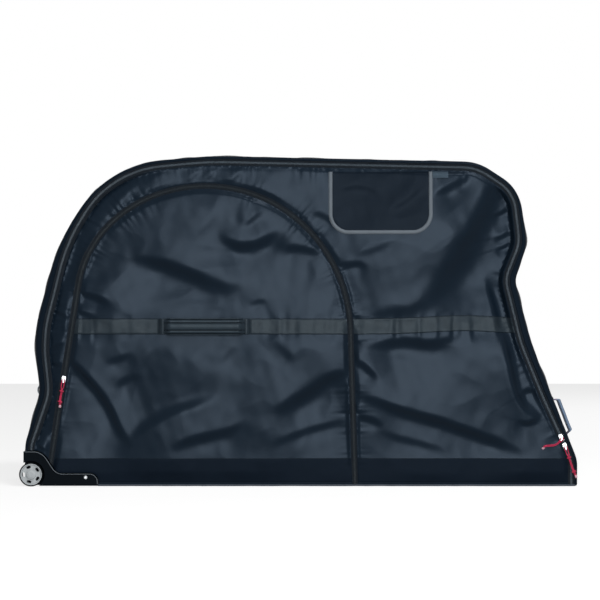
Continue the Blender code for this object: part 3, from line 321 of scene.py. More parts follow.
# Carry handles. The grip's half section: share across its width and thickness, seam to middle
handle_middle = -0.2266
handle_length = 0.195
handle_width = 0.040
handle_rise = 0.0105
handle_axis_proud = 0.0075
handle_fold_width = 0.037
half_grip_section = (
    (0.500, 0.0020), (0.470, 0.0026), (0.430, 0.0022), (0.400, 0.0045), (0.330, 0.0066),
    (0.250, 0.0066), (0.215, 0.0054), (0.190, 0.0070), (0.120, 0.0088), (0.000, 0.0094),
)
# Where the grip's valleys lie, and half the width of the dark line in each: seam thread and painted
# shade
grip_valley_shares = (0.215, 0.430)
grip_seam_and_shade_share = 0.022
grip_end_narrowing = 0.26
grip_end_half = 0.0011
grip_clearance = 0.0024
grip_back_share = 0.8
grip_rings = 61
grip_wobble = 0.0005
grip_wobble_length = 0.05
strap_sides = 16
strap_squareness = 0.3
strap_thickness = 0.0018
anchor_length = 0.016

# Fold at a grip's end: how far beyond the grip and how proud
anchor_profile = (
    (0.0158, 0.0015), (0.0125, 0.0030), (0.0090, 0.0066), (0.0055, 0.0088),
    (0.0022, 0.0092), (0.0007, 0.0080), (0.0009, 0.0050), (0.0020, 0.0015),
)

# Ring tab, side loop and tow handle
ring_spot = (-0.62936, 0, 0.228)
ring_along = (-0.06999, 0, -0.99755)
ring_proud = (-0.99755, 0, 0.06999)
ring_tab_half = (
    (0.0088, 0.0006), (0.0062, 0.0009), (0.0050, 0.0026), (0.0042, 0.0052), (0.0026, 0.0076),
    (0, 0.0084),
)
ring_tab_width = 0.018
ring_tab_thickness = 0.0013
loop_spot = (0.53458, 0, 0.466)
loop_along = (0.25148, 0, -0.96786)
loop_proud = (0.96786, 0, 0.25148)
side_loop_half = (
    (0.0205, 0.0008), (0.0175, 0.0010), (0.0150, 0.0030), (0.0125, 0.0068), (0.0085, 0.0086),
    (0, 0.0090),
)
side_loop_width = 0.021
side_loop_thickness = 0.0015
tow_spot = (0.63903, 0, 0.158)
tow_along = (0.36033, 0, -0.93282)
tow_proud = (0.93282, 0, 0.36033)
tow_length = 0.094
tow_width = 0.034
tow_rise = 0.0115
tow_fold_thickness = 0.0034
tow_strip_width = 0.036
tow_strip_proud = 0.0012
tow_strip_spare = 0.0023
tow_stripe_shares = (0.17, 0.24, 0.34)

# Base, its piping and its pad
base_thickness = 0.005
base_right = body_right - 0.001
base_left_gap = 0.0005
base_gap = 0.001
base_side_gap = 0.0004
base_low = 0.0002
base_edge_rise = 0.0014
base_edge_reach = 0.003
base_wave_rise = 0.0003
base_wave_length = 0.12
piping_radius = 0.0025
piping_share = 0.96
piping_start_gap = 0.0004
piping_end_gap = 0.004
piping_wobble = 0.00035
piping_wobble_length = 0.09
pad_low = 0.0096
pad_high = 0.0216
pad_right = 0.6584
pad_left = -0.5964
pad_half_depth = 0.113
pad_corner = 0.02
pad_top_gap = 0.0005
pad_top_reach = 0.006
pad_top_share = 0.45
pad_foot_gap = 0.0004
pad_foot_reach = 0.004
pad_foot_share = 0.3
quilt_pitch = 0.09
quilt_sink = 0.004
quilt_seam = 0.004

# Wheel pocket, sleeve and frame straps
pocket_seam = 0.0025
pocket_growth = 0.001
pocket_low = 0.026
pocket_leg = 0.26
pocket_corner = 0.200
pocket_middle = 0.34
pocket_thickness = 0.0015
pocket_slack = 0.0025
pocket_slack_length = 0.16
pocket_floor_gap = 0.004
pocket_wave = 0.0015
pocket_wave_length = 0.12
pocket_wall_shares = [(1, 0), (0.998, 0.25), (0.996, 0.5), (0.994, 0.75), (0.985, 0.93), (0.965, 1)]
pocket_floor_shares = (0.9, 0.8, 0.68, 0.55, 0.42, 0.28, 0.14, 0.03)
front_pocket_depths = (0.0055, 0.0605)
back_sleeve_depths = (0.0040, 0.0592)
sleeve_top = 0.4507
buckle_lift = 0.0035
buckle_inner = (0.022, 0.034)
buckle_outer = (0.040, 0.054)

# Cloth looks: name, colour, roughness, thread spacing, shine, depth of the weave
cloths = (
    ("gusset_cloth", (0.0030, 0.0058, 0.0100), 0.40, 0.0014, 0.045, 0.000012),
    ("shell_cloth", (0.0035, 0.0070, 0.0120), 0.34, 0.0014, 0.08, 0.000012),
    ("patch_cloth", (0.0030, 0.0054, 0.0092), 0.40, 0.0010, 0.032, 0.000012),
    ("base_cloth", (0.0034, 0.0060, 0.0104), 0.50, 0.0020, 0.025, 0.00006),
    ("lining_cloth", (0.045, 0.050, 0.058), 0.7, 0.001, 0.08, 0.00004),
    ("reflective_piping_cloth", (0.084, 0.098, 0.112), 0.45, 0.0008, 0.1, 0.00004),
    ("base_piping_cloth", (0.040, 0.048, 0.060), 0.5, 0.0012, 0.08, 0.00004),
    # The dark seam colour is seam thread, and also painted shade at strap edges and in the grip's
    # valleys
    ("seam_thread_and_shade", (0.0040, 0.0060, 0.0080), 0.6, 0.0008, 0.02, 0.00004),
    ("pad_cloth", (0.060, 0.066, 0.075), 0.8, 0.0016, 0.08, 0.00004),
    ("tab_cloth", (0.034, 0.050, 0.066), 0.55, 0.0008, 0.04, 0.00004),
    ("tow_cloth", (0.120, 0.165, 0.235), 0.6, 0.001, 0.08, 0.00004),
    ("tow_stripe_cloth", (0.420, 0.060, 0.190), 0.6, 0.001, 0.08, 0.00004),
    ("tow_line_cloth", (0.560, 0.580, 0.600), 0.6, 0.001, 0.08, 0.00004),
)
cloth_tint = (0.62, 0.79, 1.0)
plain_tint = (1.0, 1.0, 1.0)
patch_size = 0.03
cloth_patches = ((0.30, 0.94), (0.70, 1.06))

# Woven strap looks: name, colour, roughness, rib spacing, direction, shine, depth, sheen, tint
weaves = (
    ("zip_tape_cloth", (0.0065, 0.0095, 0.0135), 0.6, 0.0012, (1, 0, 0.4), 0.04, 0.00022, 0.05,
     plain_tint),
    ("webbing_weave", (0.0100, 0.0150, 0.0200), 0.36, 0.0022, (1, 0, 0), 0.085, 0.00004, 0,
     (0.78, 0.92, 1.0)),
    ("dark_webbing_weave", (0.012, 0.014, 0.018), 0.6, 0.0020, (0, 0, 1), 0.15, 0.00022, 0.05,
     plain_tint),
    ("pull_cord_braid", (0.42, 0.020, 0.065), 0.6, 0.0016, (0.7, 0, 0.7), 0.15, 0.0003, 0.05,
     plain_tint),
    ("handle_weave", (0.0120, 0.0180, 0.0240), 0.36, 0.0022, (1, 0, 0), 0.085, 0.00004, 0,
     (0.74, 0.90, 1.0)),
)
rib_patch_size = 0.02
rib_patches = ((0.30, 0.85), (0.70, 1.15))

# Plastic looks: name, colour, roughness, grain, depth of the grain, shine
plastics = (
    ("zip_teeth_plastic", (0.052, 0.068, 0.083), 0.34, 0.0006, 0.00004, 0.25),
    ("arch_zip_teeth_plastic", (0.017, 0.022, 0.026), 0.34, 0.0006, 0.00004, 0.12),
    ("moulded_corner", (0.0017, 0.0029, 0.0043), 0.50, 0.0006, 0.00004, 0.016),
    # The light colour of the corner's rim bead is a painted highlight, for the light its top edge
    # catches
    ("moulded_corner_painted_highlight", (0.075, 0.088, 0.100), 0.40, 0.0006, 0.00004, 0.2),
    ("hub_plastic", (0.27, 0.29, 0.30), 0.45, 0.0006, 0.00004, 0.2),
    ("tyre_rubber", (0.003, 0.004, 0.005), 0.80, 0.001, 0.0001, 0.03),
    ("pull_cord_tip", (0.42, 0.25, 0.29), 0.4, 0.0006, 0.00004, 0.2),
    ("stiff_board", (0.020, 0.022, 0.025), 0.6, 0.002, 0.0001, 0.5),
)
scuff_size = 0.012
scuff_patches = ((0.35, 0.92), (0.72, 1.12))
scuff_polish = 0.06
scuff_wear = 0.12
metals = (("plated_metal", (0.42, 0.44, 0.46), 0.24), ("ring_metal", (0.30, 0.33, 0.35), 0.30))
mark_size = 0.004
mark_patches = ((0.3, 0.9), (0.7, 1))
mark_shares = (0.7, 1.5)
haze_size = 0.0015
haze_depth = 0.00002


# Numbers and flat lines

def smooth_step(values, low, high):
    """A soft rise from 0 at low to 1 at high."""
    share = np.clip((values - low) / (high - low), 0, 1)
    return share * share * (3 - 2 * share)


def one_way(values):
    """Values laid along one line, as flat points."""
    return np.stack((values, values * 0), axis=1)


def placed(flat, depth):
    """Flat points (x, z) put at a depth y, one for all or one for each."""
    return np.stack((flat[:, 0], flat[:, 0] * 0 + depth, flat[:, 1]), axis=1)


def above_foot(outline):
    """An outline kept at or above the cloth's foot."""
    return np.maximum(outline, (-math.inf, foot))


def closed_line(outline):
    """An outline with its first point again at its end."""
    return np.vstack((outline, outline[:1]))


def mirrored(half):
    """A run of points up to its middle one, then down again on the other side."""
    return [*half, *((-reach, height) for reach, height in half[-2::-1])]


grip_section = np.array(mirrored(half_grip_section))


def folds_of(rows):
    """Folds from rows in millimetres: height, softness at both ends, reach, x and z of each point."""
    folds = []
    for row in rows:
        rise, start, end, reach, *run = np.array(row) / millimetres
        folds.append((rise, (start, end), reach, np.reshape(run, (-1, 2))))
    return folds


def route_of(numbers):
    """A cord's route from millimetres: down the zip, proud of it and across it, point after point."""
    return np.reshape(numbers, (-1, 3)) / millimetres


def rounded_path(corners):
    """An open path through corners (x, z, radius), each corner turned into an arc."""
    path = [np.array(corners[0][:2], float)]
    for before, corner, after in zip(corners, corners[1:], corners[2:]):
        here = np.array(corner[:2], float)
        radius = corner[2]
        if radius == 0:
            path.append(here)
            continue
        way_in = here - np.array(before[:2])
        way_in /= np.hypot(*way_in)
        way_out = np.array(after[:2]) - here
        way_out /= np.hypot(*way_out)
        turn = math.atan2(
            way_in[0] * way_out[1] - way_in[1] * way_out[0], float(way_in @ way_out))
        start = here - way_in * radius * math.tan(abs(turn) / 2)
        left = np.array((-way_in[1], way_in[0])) * math.copysign(1, turn)
        centre = start + left * radius
        arm = start - centre
        steps = max(1, math.ceil(abs(turn) / arc_step))
        for step in range(steps + 1):
            cosine = math.cos(turn * step / steps)
            sine = math.sin(turn * step / steps)
            path.append(centre + np.array(
                (arm[0] * cosine - arm[1] * sine, arm[0] * sine + arm[1] * cosine)))
    path.append(np.array(corners[-1][:2], float))
    return np.array(path)


def beside(path, distance, closed=False):
    """The path moved to its right, by one distance or by one for each point."""
    step = np.diff(path, axis=0, append=path[:1] if closed else path[-1:])
    if not closed:
        step[-1] = step[-2]
    step /= np.hypot(step[:, 0], step[:, 1])[:, None]
    normal = np.stack((step[:, 1], -step[:, 0]), axis=1)
    before = np.roll(normal, 1, axis=0)
    if not closed:
        before[0] = normal[0]
    middle = normal + before
    middle /= np.hypot(middle[:, 0], middle[:, 1])[:, None]
    reach = np.asarray(distance) / np.maximum((middle * normal).sum(axis=1), 0.3)
    return path + middle * reach[:, None]


def resampled(path, spacing, closed=False):
    """The path with its corners kept and its long steps divided."""
    ends = np.vstack((path, path[:1])) if closed else path
    points = []
    for start, end in zip(ends, ends[1:]):
        count = max(1, round(float(np.hypot(*(end - start))) / spacing))
        for step in range(count):
            points.append(start + (end - start) * step / count)
    if not closed:
        points.append(ends[-1])
    return np.array(points)


def travelled(path):
    """Distance along a path at each of its points."""
    return np.concatenate(([0], np.cumsum(np.hypot(*np.diff(path, axis=0).T))))


def evenly(path, spacing):
    """Points at even distances along a path."""
    length = travelled(path)
    wanted = np.linspace(0, length[-1], max(2, round(length[-1] / spacing) + 1))
    return np.stack([np.interp(wanted, length, path[:, axis]) for axis in range(2)], axis=1)


def nearest(points, path):
    """For each point: distance to a path and distance along it there."""
    distance = np.full(len(points), np.inf)
    along = np.zeros(len(points))
    before = 0
    for start, end in zip(path, path[1:]):
        step = end - start
        length = float(np.hypot(*step))
        if length == 0:
            continue
        arm = points - start
        share = np.clip((arm @ step) / length ** 2, 0, 1)
        gap = np.hypot(*(arm - share[:, None] * step).T)
        closer = gap < distance
        distance[closer] = gap[closer]
        along[closer] = before + share[closer] * length
        before += length
    return distance, along


def inside(points, outline):
    """Which points lie inside a closed outline."""
    result = np.zeros(len(points), bool)
    for start, end in zip(outline, np.roll(outline, -1, axis=0)):
        if start[1] == end[1]:
            continue
        crosses = (start[1] > points[:, 1]) != (end[1] > points[:, 1])
        at = start[0] + (points[:, 1] - start[1]) * (end[0] - start[0]) / (end[1] - start[1])
        result ^= crosses & (points[:, 0] < at)
    return result


def crossing(path, height, last=False):
    """The first or last x at which a path passes a height."""
    found = []
    for start, end in zip(path, path[1:]):
        if (start[1] - height) * (end[1] - height) <= 0 and start[1] != end[1]:
            found.append(start[0] + (height - start[1]) / (end[1] - start[1]) * (end[0] - start[0]))
    return max(found) if last else min(found)


def side_outline():
    """The bag's side outline, from the foot of its left end over the top to its right foot."""
    foot_share = foot / bag_height
    corners = [(0, foot_share, 0)]
    for x_share, z_share, radius_share in outline_shares:
        corners.append((x_share * outline_proportion, z_share, radius_share))
    corners.append((outline_proportion, foot_share, 0))
    path = rounded_path(corners)
    return np.stack((
        body_left + path[:, 0] / outline_proportion * body_length,
        path[:, 1] * bag_height,
    ), axis=1)


def zip_inset(heights):
    """How far the main zip runs inside the side outline, at each height."""
    shares, insets = np.array(zip_inset_shares).T
    return bag_height * np.interp(heights / bag_height, shares, insets)


def arch_outline():
    """The arch zip's middle line, from its left foot over the crown to its right foot."""
    join = math.atan(arch_left_lean * arch_left_rise / arch_left_span)
    left_x = arch_crown - arch_left_span * math.cos(join)
    left_z = arch_top - arch_left_rise * (1 - math.sin(join))
    path = [(left_x - arch_left_lean * (left_z - foot), foot)]
    for step in range(arch_quarter_steps + 1):
        angle = join + (math.pi / 2 - join) * step / arch_quarter_steps
        path.append((
            arch_crown - arch_left_span * math.cos(angle),
            arch_top - arch_left_rise * (1 - math.sin(angle)),
        ))
    for step in range(1, arch_quarter_steps + 1):
        angle = math.pi / 2 * step / arch_quarter_steps
        path.append((
            arch_crown + arch_right_span * math.sin(angle),
            arch_top - arch_right_rise * (1 - math.cos(angle)),
        ))
    last_x, last_z = path[-1]
    path.append((last_x + arch_right_lean * (last_z - foot), foot))
    return np.array(path)


def bracket_outline(left, low, growth):
    """The bracket's swept top line closed along its foot, grown outward by a clearance."""
    right = bracket_left + bracket_length
    top = rounded_path((
        (left, bracket_height, 0),
        (bracket_left + bracket_shoulder, bracket_height, bracket_shoulder_radius),
        (bracket_left + bracket_instep, bracket_toe_height, bracket_instep_radius),
        (right, bracket_toe_height, bracket_toe_radius),
        (right, low, 0),
    ))
    return np.vstack((beside(top, -growth), [(left, low)]))


def circle(centre, radius, count=36):
    """Points round a circle."""
    angle = 2 * math.pi * np.arange(count) / count
    return np.stack((centre[0] + radius * np.cos(angle), centre[1] + radius * np.sin(angle)), axis=1)


shell_line = resampled(side_outline(), guide_spacing)
main_line = beside(shell_line, zip_inset(shell_line[:, 1]))
arch_line = resampled(arch_outline(), guide_spacing)
bracket_notch = bracket_outline(bracket_left - notch_overrun, -notch_overrun, swing_clearance)
wheel_well = circle(wheel_centre, well_radius)


# A cord leaves its slider's bail, runs down one side, turns in its tip and comes back

hanging_out = route_of((
    0, 2.4, 0.9, 0, 2.4, 1.8, 1.3, 2.4, 2.8, 4, 2.5, 3.1, 10, 2.8, 3.1, 18, 3.3, 2.8,
    23.5, 3.7, 1.6, 28.5, 4.6, 1.2, 34, 3.8, 1.3, 40, 3.6, 1.5, 48, 3.6, 1.6, 54, 4.4, 1.3,
    60, 3.6, 0.5, 64, 3.4, -0.2,
))
hanging_back = route_of((
    65.5, 3.3, -1.4, 64, 3.4, -2.6, 60, 3.6, -2.3, 54, 4.4, -1.2, 48, 3.6, -0.9, 40, 3.6, -1.1,
    34, 3.8, -1.2, 28.5, 4.6, -1.2, 23.5, 3.7, -1.4, 18, 3.3, -2.8, 10, 2.8, -3.1, 4, 2.5, -3.1,
    1.3, 2.4, -2.8, 0, 2.4, -1.8, 0, 2.4, -0.9,
))
side_out = route_of((
    0, 2.4, 0.9, 0, 2.4, 1.8, 1.2, 2.4, 2.8, 3, 2.5, 3.7, 5.2, 2.8, 6.4, 7.4, 3, 11, 9, 3.3, 16.2,
    9.1, 3.5, 22, 7.3, 3.5, 28.6, 4.8, 3.6, 35.6, 3, 3.8, 41.2, 2.6, 4.6, 45, 4.2, 3.6, 49,
))
side_back = route_of((
    6.2, 3.3, 50.3, 7, 3.6, 48.6, 5.2, 4.6, 45.2, 5.6, 3.8, 41.8, 7.4, 3.6, 36.6, 9.8, 3.5, 29.7,
    11.6, 3.5, 22.2, 11.5, 3.3, 15.6, 9.8, 3, 9.8, 8.2, 2.8, 4, 7.2, 2.7, -1, 4.5, 2.5, -3.1,
    1.3, 2.4, -2.8, 0, 2.4, -1.8, 0, 2.4, -0.9,
))

# Folds of the cloth, each through its points in turn. The cloth stands proud on the left hand of
# the points and drops on their right hand.

flap_folds = folds_of((
    (21, 10, 24, 80, -430, 556, -376, 549, -318, 536, -262, 515, -207, 492, -150, 480, -105, 500),
    (19, 11, 14, 60, -200, 618, -170, 594, -141, 582, -100, 587, -62, 606, -30, 628),
    (12, 11, 11, 42, -52, 577, -3, 577, 38, 570, 66, 562),
    (5, 6, 6, 21, -136, 626, -112, 645, -86, 669),
    (8, 26, 30, 70, -306, 596, -250, 606, -202, 650, -175, 708),
    (13, 6, 7.5, 30, -552, 470, -527, 467, -500, 461, -473, 451, -448, 434),
    (7, 4.5, 5, 18, -552, 426, -531, 421, -509, 415, -488, 406),
    (17, 6, 8.5, 40, -600, 330, -570, 312, -542, 294, -521.5, 275, -497, 247, -473, 216,
     -452.5, 182, -438.7, 150.5, -424.7, 126, -405.8, 103, -385, 85),
    (14, 20, 9, 50, -170, 235, -238, 205, -290, 186, -336, 164, -372, 142, -405, 110, -425, 90),
    (5, 7, 7, 20, -470, 300, -440, 308, -395, 322),
    (11, 9, 12, 38, -330, 84, -262, 112, -185, 130, -153, 142, -112, 170),
    (20, 19, 12, 52, -90, 168, -37, 192, -3, 212, 33, 234, 76, 263, 120, 277, 148, 285),
    (6, 8, 8, 28, -76, 88, -54, 105, -28, 117, 11, 132, 52, 144, 145, 166),
    (6, 14, 14, 40, -190, 289, -166, 325, -137, 359),
    (6, 12, 12, 34, -69, 359, -37, 330, -3, 299),
    (8, 11, 11, 32, -311, 422, -262, 430, -202, 430, -141, 425),
    (6, 7, 7, 21, -120, 437, -100, 446, -74, 449),
    (6, 9, 9, 28, -449, 234, -427, 253, -398, 265, -371, 263),
    (5, 13, 13, 34, -398, 265, -371, 301, -342, 352),
))
panel_folds = folds_of((
    (40, 36, 20, 140, 290, 380, 322, 440, 352, 500, 388, 560, 418, 612, 444, 660, 464, 705,
     484, 750, 500, 800, 510, 850),
    (10, 6, 6, 28, 118, 312, 142, 302, 159, 292, 178, 275, 197, 255),
    (19, 8, 12, 62, 112, 226, 142, 221, 173, 212, 202, 202, 263, 180, 343, 158, 423, 130, 483, 108,
     536, 86, 580, 62),
    (7, 4.5, 5.5, 22, 118, 172, 147, 169, 164, 166, 185, 159, 212, 143),
    (5, 7, 8, 26, 185, 142, 234, 120, 282, 108, 372, 84),
    (7, 6, 5, 22, 90, 527, 108, 534, 130, 538, 149, 538, 172, 528),
    (11, 9, 11, 32, 318, 700, 350, 716, 390, 737, 430, 757),
    (19, 15, 14, 46, 130, 330, 159, 334, 197, 342, 246, 352, 282, 350, 323, 346, 384, 362, 420, 372),
    (12, 18, 22, 50, 150, 412, 216, 420, 282, 432, 340, 470),
    (8, 11, 11, 35, -449, 664, -420, 693, -379, 732),
    (4.5, 6, 6, 17, -267, 734, -248, 754, -228, 768),
    (4.5, 6, 6, 17, -231, 732, -214, 749, -197, 766),
    (4.5, 6, 6, 17, -175, 730, -156, 744, -139, 761),
    (6, 6, 6, 17, -95, 703, -69, 701, -45, 681),
    (6, 7, 7, 21, 23, 652, 47, 660, 76, 645, 96, 626),
    (4, 9, 9, 30, 120, 560, 180, 572, 240, 600),
    (17, 7, 6, 34, 488, 345, 484, 380, 477, 422, 468, 456, 461, 480, 452, 515),
    (24, 9, 8, 40, 606, 140, 578, 167, 550, 190, 533, 216, 522, 250, 514, 290, 504, 335, 491, 380,
     480, 420),
))
panel_creases = folds_of((
    (6, 3, 4.5, 14, 470, 655, 488, 661, 512, 676),
    (7, 4, 6, 18, 474, 600, 492, 604, 514, 618),
    (6, 3, 4, 14, 480, 574, 498, 580, 517, 592),
    (6, 4, 4, 16, 536, 222, 556, 233, 582, 228),
    (8, 5, 5, 18, 528, 160, 556, 154, 586, 170),
    (6, 3, 3, 14, -612, 452, -594, 446, -572, 440),
    (7, 3.5, 3.5, 14, -616, 430, -590, 424, -560, 412),
    (6, 3, 3, 12, -616, 398, -594, 402, -572, 404),
    (7, 3.5, 3.5, 14, -614, 362, -592, 372, -562, 382),
    (6, 3, 3, 14, -614, 332, -592, 340, -568, 348),
    (7, 3.5, 3.5, 14, -612, 300, -590, 296, -564, 298),
    (6, 3, 3, 14, -606, 258, -590, 252, -570, 256),
    (7, 3.5, 3.5, 14, -622, 196, -600, 204, -574, 226),
    (7, 3.5, 3.5, 14, -640, 176, -616, 172, -588, 176),
    (7, 3.5, 3.5, 14, -648, 146, -620, 142, -592, 152),
    (7, 3.5, 3.5, 14, -654, 110, -630, 100, -604, 82),
    (4, 9, 9, 30, 80, 712, 150, 724, 210, 702),
    (4, 9, 9, 30, 200, 662, 252, 684, 316, 740),
    (5, 3.5, 3.5, 14, 116, 404, 132, 410, 150, 409),
    (5, 3.5, 3.5, 14, 116, 355, 134, 350, 150, 352),
    (4, 4.5, 4.5, 14, 334, 345, 337, 385, 334, 425),
    (4.6, 4, 4, 13, 368, 350, 370, 385, 373, 425),
    (4.4, 5.5, 5.5, 16, 420, 345, 418, 385, 414, 425),
    (3.6, 5, 5, 14, 296, 350, 294, 385, 296, 420),
    (3, 5, 5, 14, 232, 350, 230, 385, 234, 420),
))
flap_creases = folds_of((
    (4.5, 5, 5, 16, -500, 340, -498, 385, -502, 420),
    (4, 4.5, 4.5, 14, -536, 345, -530, 385, -534, 425),
    (3, 6, 6, 18, -430, 350, -432, 385, -428, 420),
    (3, 6, 6, 18, -40, 350, -42, 385, -36, 420),
    (3, 6, 6, 18, 40, 350, 38, 385, 42, 420),
))


def waves(points, seed, length, count=22):
    """Smooth seeded unevenness of about one wavelength and about one unit high."""
    draw = np.random.default_rng(seed)
    angle = draw.uniform(0, 2 * math.pi, count)
    phase = draw.uniform(0, 2 * math.pi, count)
    number = 2 * math.pi / (length * draw.uniform(0.65, 1.5, count))
    wave = np.stack((np.cos(angle) * number, np.sin(angle) * number))
    return np.sin(points @ wave + phase).sum(axis=1) * math.sqrt(2 / count)


def fold_share(share):
    """How strong a fold is at a share of its run: soft at both ends."""
    return smooth_step(share, 0, fold_ramp_share) * smooth_step(1 - share, 0, fold_ramp_share)


def smooth_line(points, per_step=6):
    """A smooth line through points."""
    points = np.asarray(points, float)
    padded = np.vstack((2 * points[0] - points[1], points, 2 * points[-1] - points[-2]))
    line = []
    for a, b, c, d in zip(padded, padded[1:], padded[2:], padded[3:]):
        for step in range(per_step):
            t = step / per_step
            line.append(0.5 * (2 * b + (c - a) * t + (2 * a - 5 * b + 4 * c - d) * t ** 2
                               + (3 * b - a - 3 * c + d) * t ** 3))
    line.append(points[-1])
    return np.array(line)


def soft_nearest(points, path):
    """Distance along a path and signed distance from it, left hand positive, with no sudden turns."""
    steps = np.diff(path, axis=0)
    lengths = np.hypot(*steps.T)
    arms = points[:, None, :] - path[None, :-1, :]
    share = np.clip((arms * steps).sum(axis=2) / lengths ** 2, 0, 1)
    gap = np.hypot(*(arms - share[:, :, None] * steps).transpose(2, 0, 1))
    side = np.sign(steps[:, 0] * arms[:, :, 1] - steps[:, 1] * arms[:, :, 0])
    along = travelled(path)[:-1] + share * lengths
    weight = np.exp(-(gap - gap.min(axis=1)[:, None]) / turn_blur)
    weight /= weight.sum(axis=1)[:, None]
    return (along * weight).sum(axis=1), gap.min(axis=1) * (side * weight).sum(axis=1)


def folded(points, folds):
    """Height that the folds give the cloth."""
    height = np.zeros(len(points))
    for rise, softness, reach, run in folds:
        path = smooth_line(run, 4)
        margin = reach * reach_stretch * fold_margin_share
        close = ((points > path.min(axis=0) - margin) & (points < path.max(axis=0) + margin)).all(axis=1)
        if not close.any():
            continue
        along, side = soft_nearest(points[close], path)
        along /= travelled(path)[-1]
        width = softness[0] + (softness[1] - softness[0]) * along
        share = np.where(side > 0, crest_share, 1 - crest_share)
        step = rise * share * np.tanh(side / (2 * share * width))
        height[close] += step * np.exp(-np.abs(side) / (reach * reach_stretch)) * fold_share(along)
    return height


def grooved(points):
    """Depth of the sharp groove in the strip by the left end."""
    path = smooth_line(groove_run, 4)
    distance, along = nearest(points, path)
    return groove_drop * np.exp(-(distance / groove_softness) ** 2) * fold_share(
        along / travelled(path)[-1])


class Relief:
    """The folds' height over the whole front on an even grid, softened, to be read anywhere."""

    def __init__(self, folds):
        self.low = np.array((body_left - relief_margin, -relief_margin))
        high = np.array((body_right + relief_margin, bag_height + relief_margin))
        counts = np.ceil((high - self.low) / relief_pitch).astype(int) + 1
        xs = self.low[0] + np.arange(counts[0]) * relief_pitch
        zs = self.low[1] + np.arange(counts[1]) * relief_pitch
        points = np.stack(np.meshgrid(xs, zs, indexing="ij"), axis=2).reshape(-1, 2)
        height = folded(points, folds).reshape(counts)
        for _ in range(relief_softening):
            for axis in range(2):
                height = (np.roll(height, 1, axis) + 2 * height + np.roll(height, -1, axis)) / 4
        self.height = height

    def at(self, points):
        """Height at any points of the front."""
        place = (points - self.low) / relief_pitch
        place = np.clip(place, 0, np.array(self.height.shape) - 1.001)
        index = place.astype(int)
        share = place - index
        result = np.zeros(len(points))
        for step_x in (0, 1):
            for step_z in (0, 1):
                weight = np.abs(1 - step_x - share[:, 0]) * np.abs(1 - step_z - share[:, 1])
                result += weight * self.height[index[:, 0] + step_x, index[:, 1] + step_z]
        return result


flap_form = Relief(flap_folds)
panel_form = Relief(panel_folds)


def carrier(points):
    """The broad swell of the whole front, which the zips lie on too."""
    rise = overall_rise * smooth_step(nearest(points, main_line)[0], carrier_start, carrier_end)
    return rise * smooth_step(points[:, 1], foot, carrier_top)


def calm(points):
    """How much of its relief the cloth keeps: little of it under the carry handle."""
    beside_end = np.abs(points[:, 0] - handle_middle) - handle_length / 2 - calm_margin[0]
    above = np.abs(points[:, 1] - webbing_height) - webbing_half - calm_margin[1]
    gap = np.maximum(np.maximum(beside_end, above), 0)
    return 1 - calm_share * np.exp(-(gap / calm_reach) ** 2)


def beside_webbing(points, reach):
    """1 on the webbing's middle line and less beside it."""
    return np.exp(-((points[:, 1] - webbing_height) / reach) ** 2)


def front_relief(points, on_flap):
    """How far the front cloth stands proud of its flat place."""
    main_distance, main_along = nearest(points, main_line)
    arch_distance, arch_along = nearest(points, arch_line)
    room = np.maximum(main_distance - main_edge, 0) * np.maximum(arch_distance - arch_edge, 0)
    room /= np.maximum(main_distance + arch_distance - main_edge - arch_edge, least_room)
    pull = webbing_pull_share * beside_webbing(points, webbing_pull_reach)
    height = pillow_rise * (1 - np.exp(-room / pillow_reach)) * (1 - pull)
    sink = 0
    if on_flap:
        height += flap_form.at(points) + folded(points, flap_creases)
    else:
        height += panel_form.at(points) - grooved(points)
        height += folded(points, panel_creases)
        toward_main = arch_distance / (main_distance + arch_distance)
        beyond = smooth_step(strip_right - points[:, 0], 0, strip_ramp)
        beyond *= smooth_step(points[:, 1], strip_low, strip_high)
        sink = strip_sink * beyond * toward_main
        sink *= smooth_step(main_distance - main_edge, 0, strip_tuck)
    height += broad_rise * waves(points, 3, broad_length)
    height += ripple_rise * waves(points, 5, ripple_length)
    sway = waves(one_way(points[:, 0]), 9, sway_length)
    height += sway_rise * sway * beside_webbing(points, sway_reach)
    height += crumple_rise * (1 - np.abs(waves(points, 7, crumple_length)))
    height = height * smooth_step(room, free_start, free_end) - sink
    for along, distance, edge, seed in (
            (main_along, main_distance, main_edge, 11), (arch_along, arch_distance, arch_edge, 13)):
        line = one_way(along)
        pucker = waves(line, seed, pucker_length) * waves(line, seed + 1, 6 * pucker_length)
        gap = np.maximum(distance - edge, 0)
        height += pucker_rise * pucker * np.exp(-gap / pucker_reach) * smooth_step(gap, 0, pucker_start)
    height *= smooth_step(points[:, 1], foot, foot + foot_free)
    if on_flap:
        height *= calm(points)
    return height + carrier(points)


def flap_relief(points):
    """The relief of the wheel pocket's flap."""
    return front_relief(points, True)


def panel_relief(points):
    """The relief of the panel round the flap."""
    return front_relief(points, False)


def back_relief(points):
    """How far the back cloth stands proud of its flat place."""
    room = nearest(points, beside(shell_line, back_lip))[0]
    pull = webbing_pull_share * beside_webbing(points, webbing_pull_reach)
    height = back_pillow_rise * (1 - np.exp(-room / back_pillow_reach)) * (1 - pull)
    height += back_wave_rise * waves(points, 21, back_wave_length)
    moved = points * np.array((-1, 1)) + np.array(back_fold_shift)
    height += back_fold_share * (flap_form.at(moved) + panel_form.at(moved))
    height *= smooth_step(points[:, 1], 0, back_foot_free)
    height *= smooth_step(room, 0, back_edge_free) * calm(points)
    return (height + np.hypot(height, back_floor_softness)) / 2


# Meshes

def mesh_piece(name, points, faces, look, sharp=math.radians(38)):
    """A smooth mesh object with one material, from points in the bag's own frame."""
    mesh = bpy.data.meshes.new(name)
    mesh.from_pydata(np.asarray(points).tolist(), [], [tuple(face) for face in faces])
    builder = bmesh.new()
    builder.from_mesh(mesh)
    bmesh.ops.recalc_face_normals(builder, faces=builder.faces)
    builder.to_mesh(mesh)
    builder.free()
    mesh.shade_smooth()
    mesh.set_sharp_from_angle(angle=sharp)
    mesh.materials.append(look)
    piece = bpy.data.objects.new(name, mesh)
    bpy.context.scene.collection.objects.link(piece)
    return piece


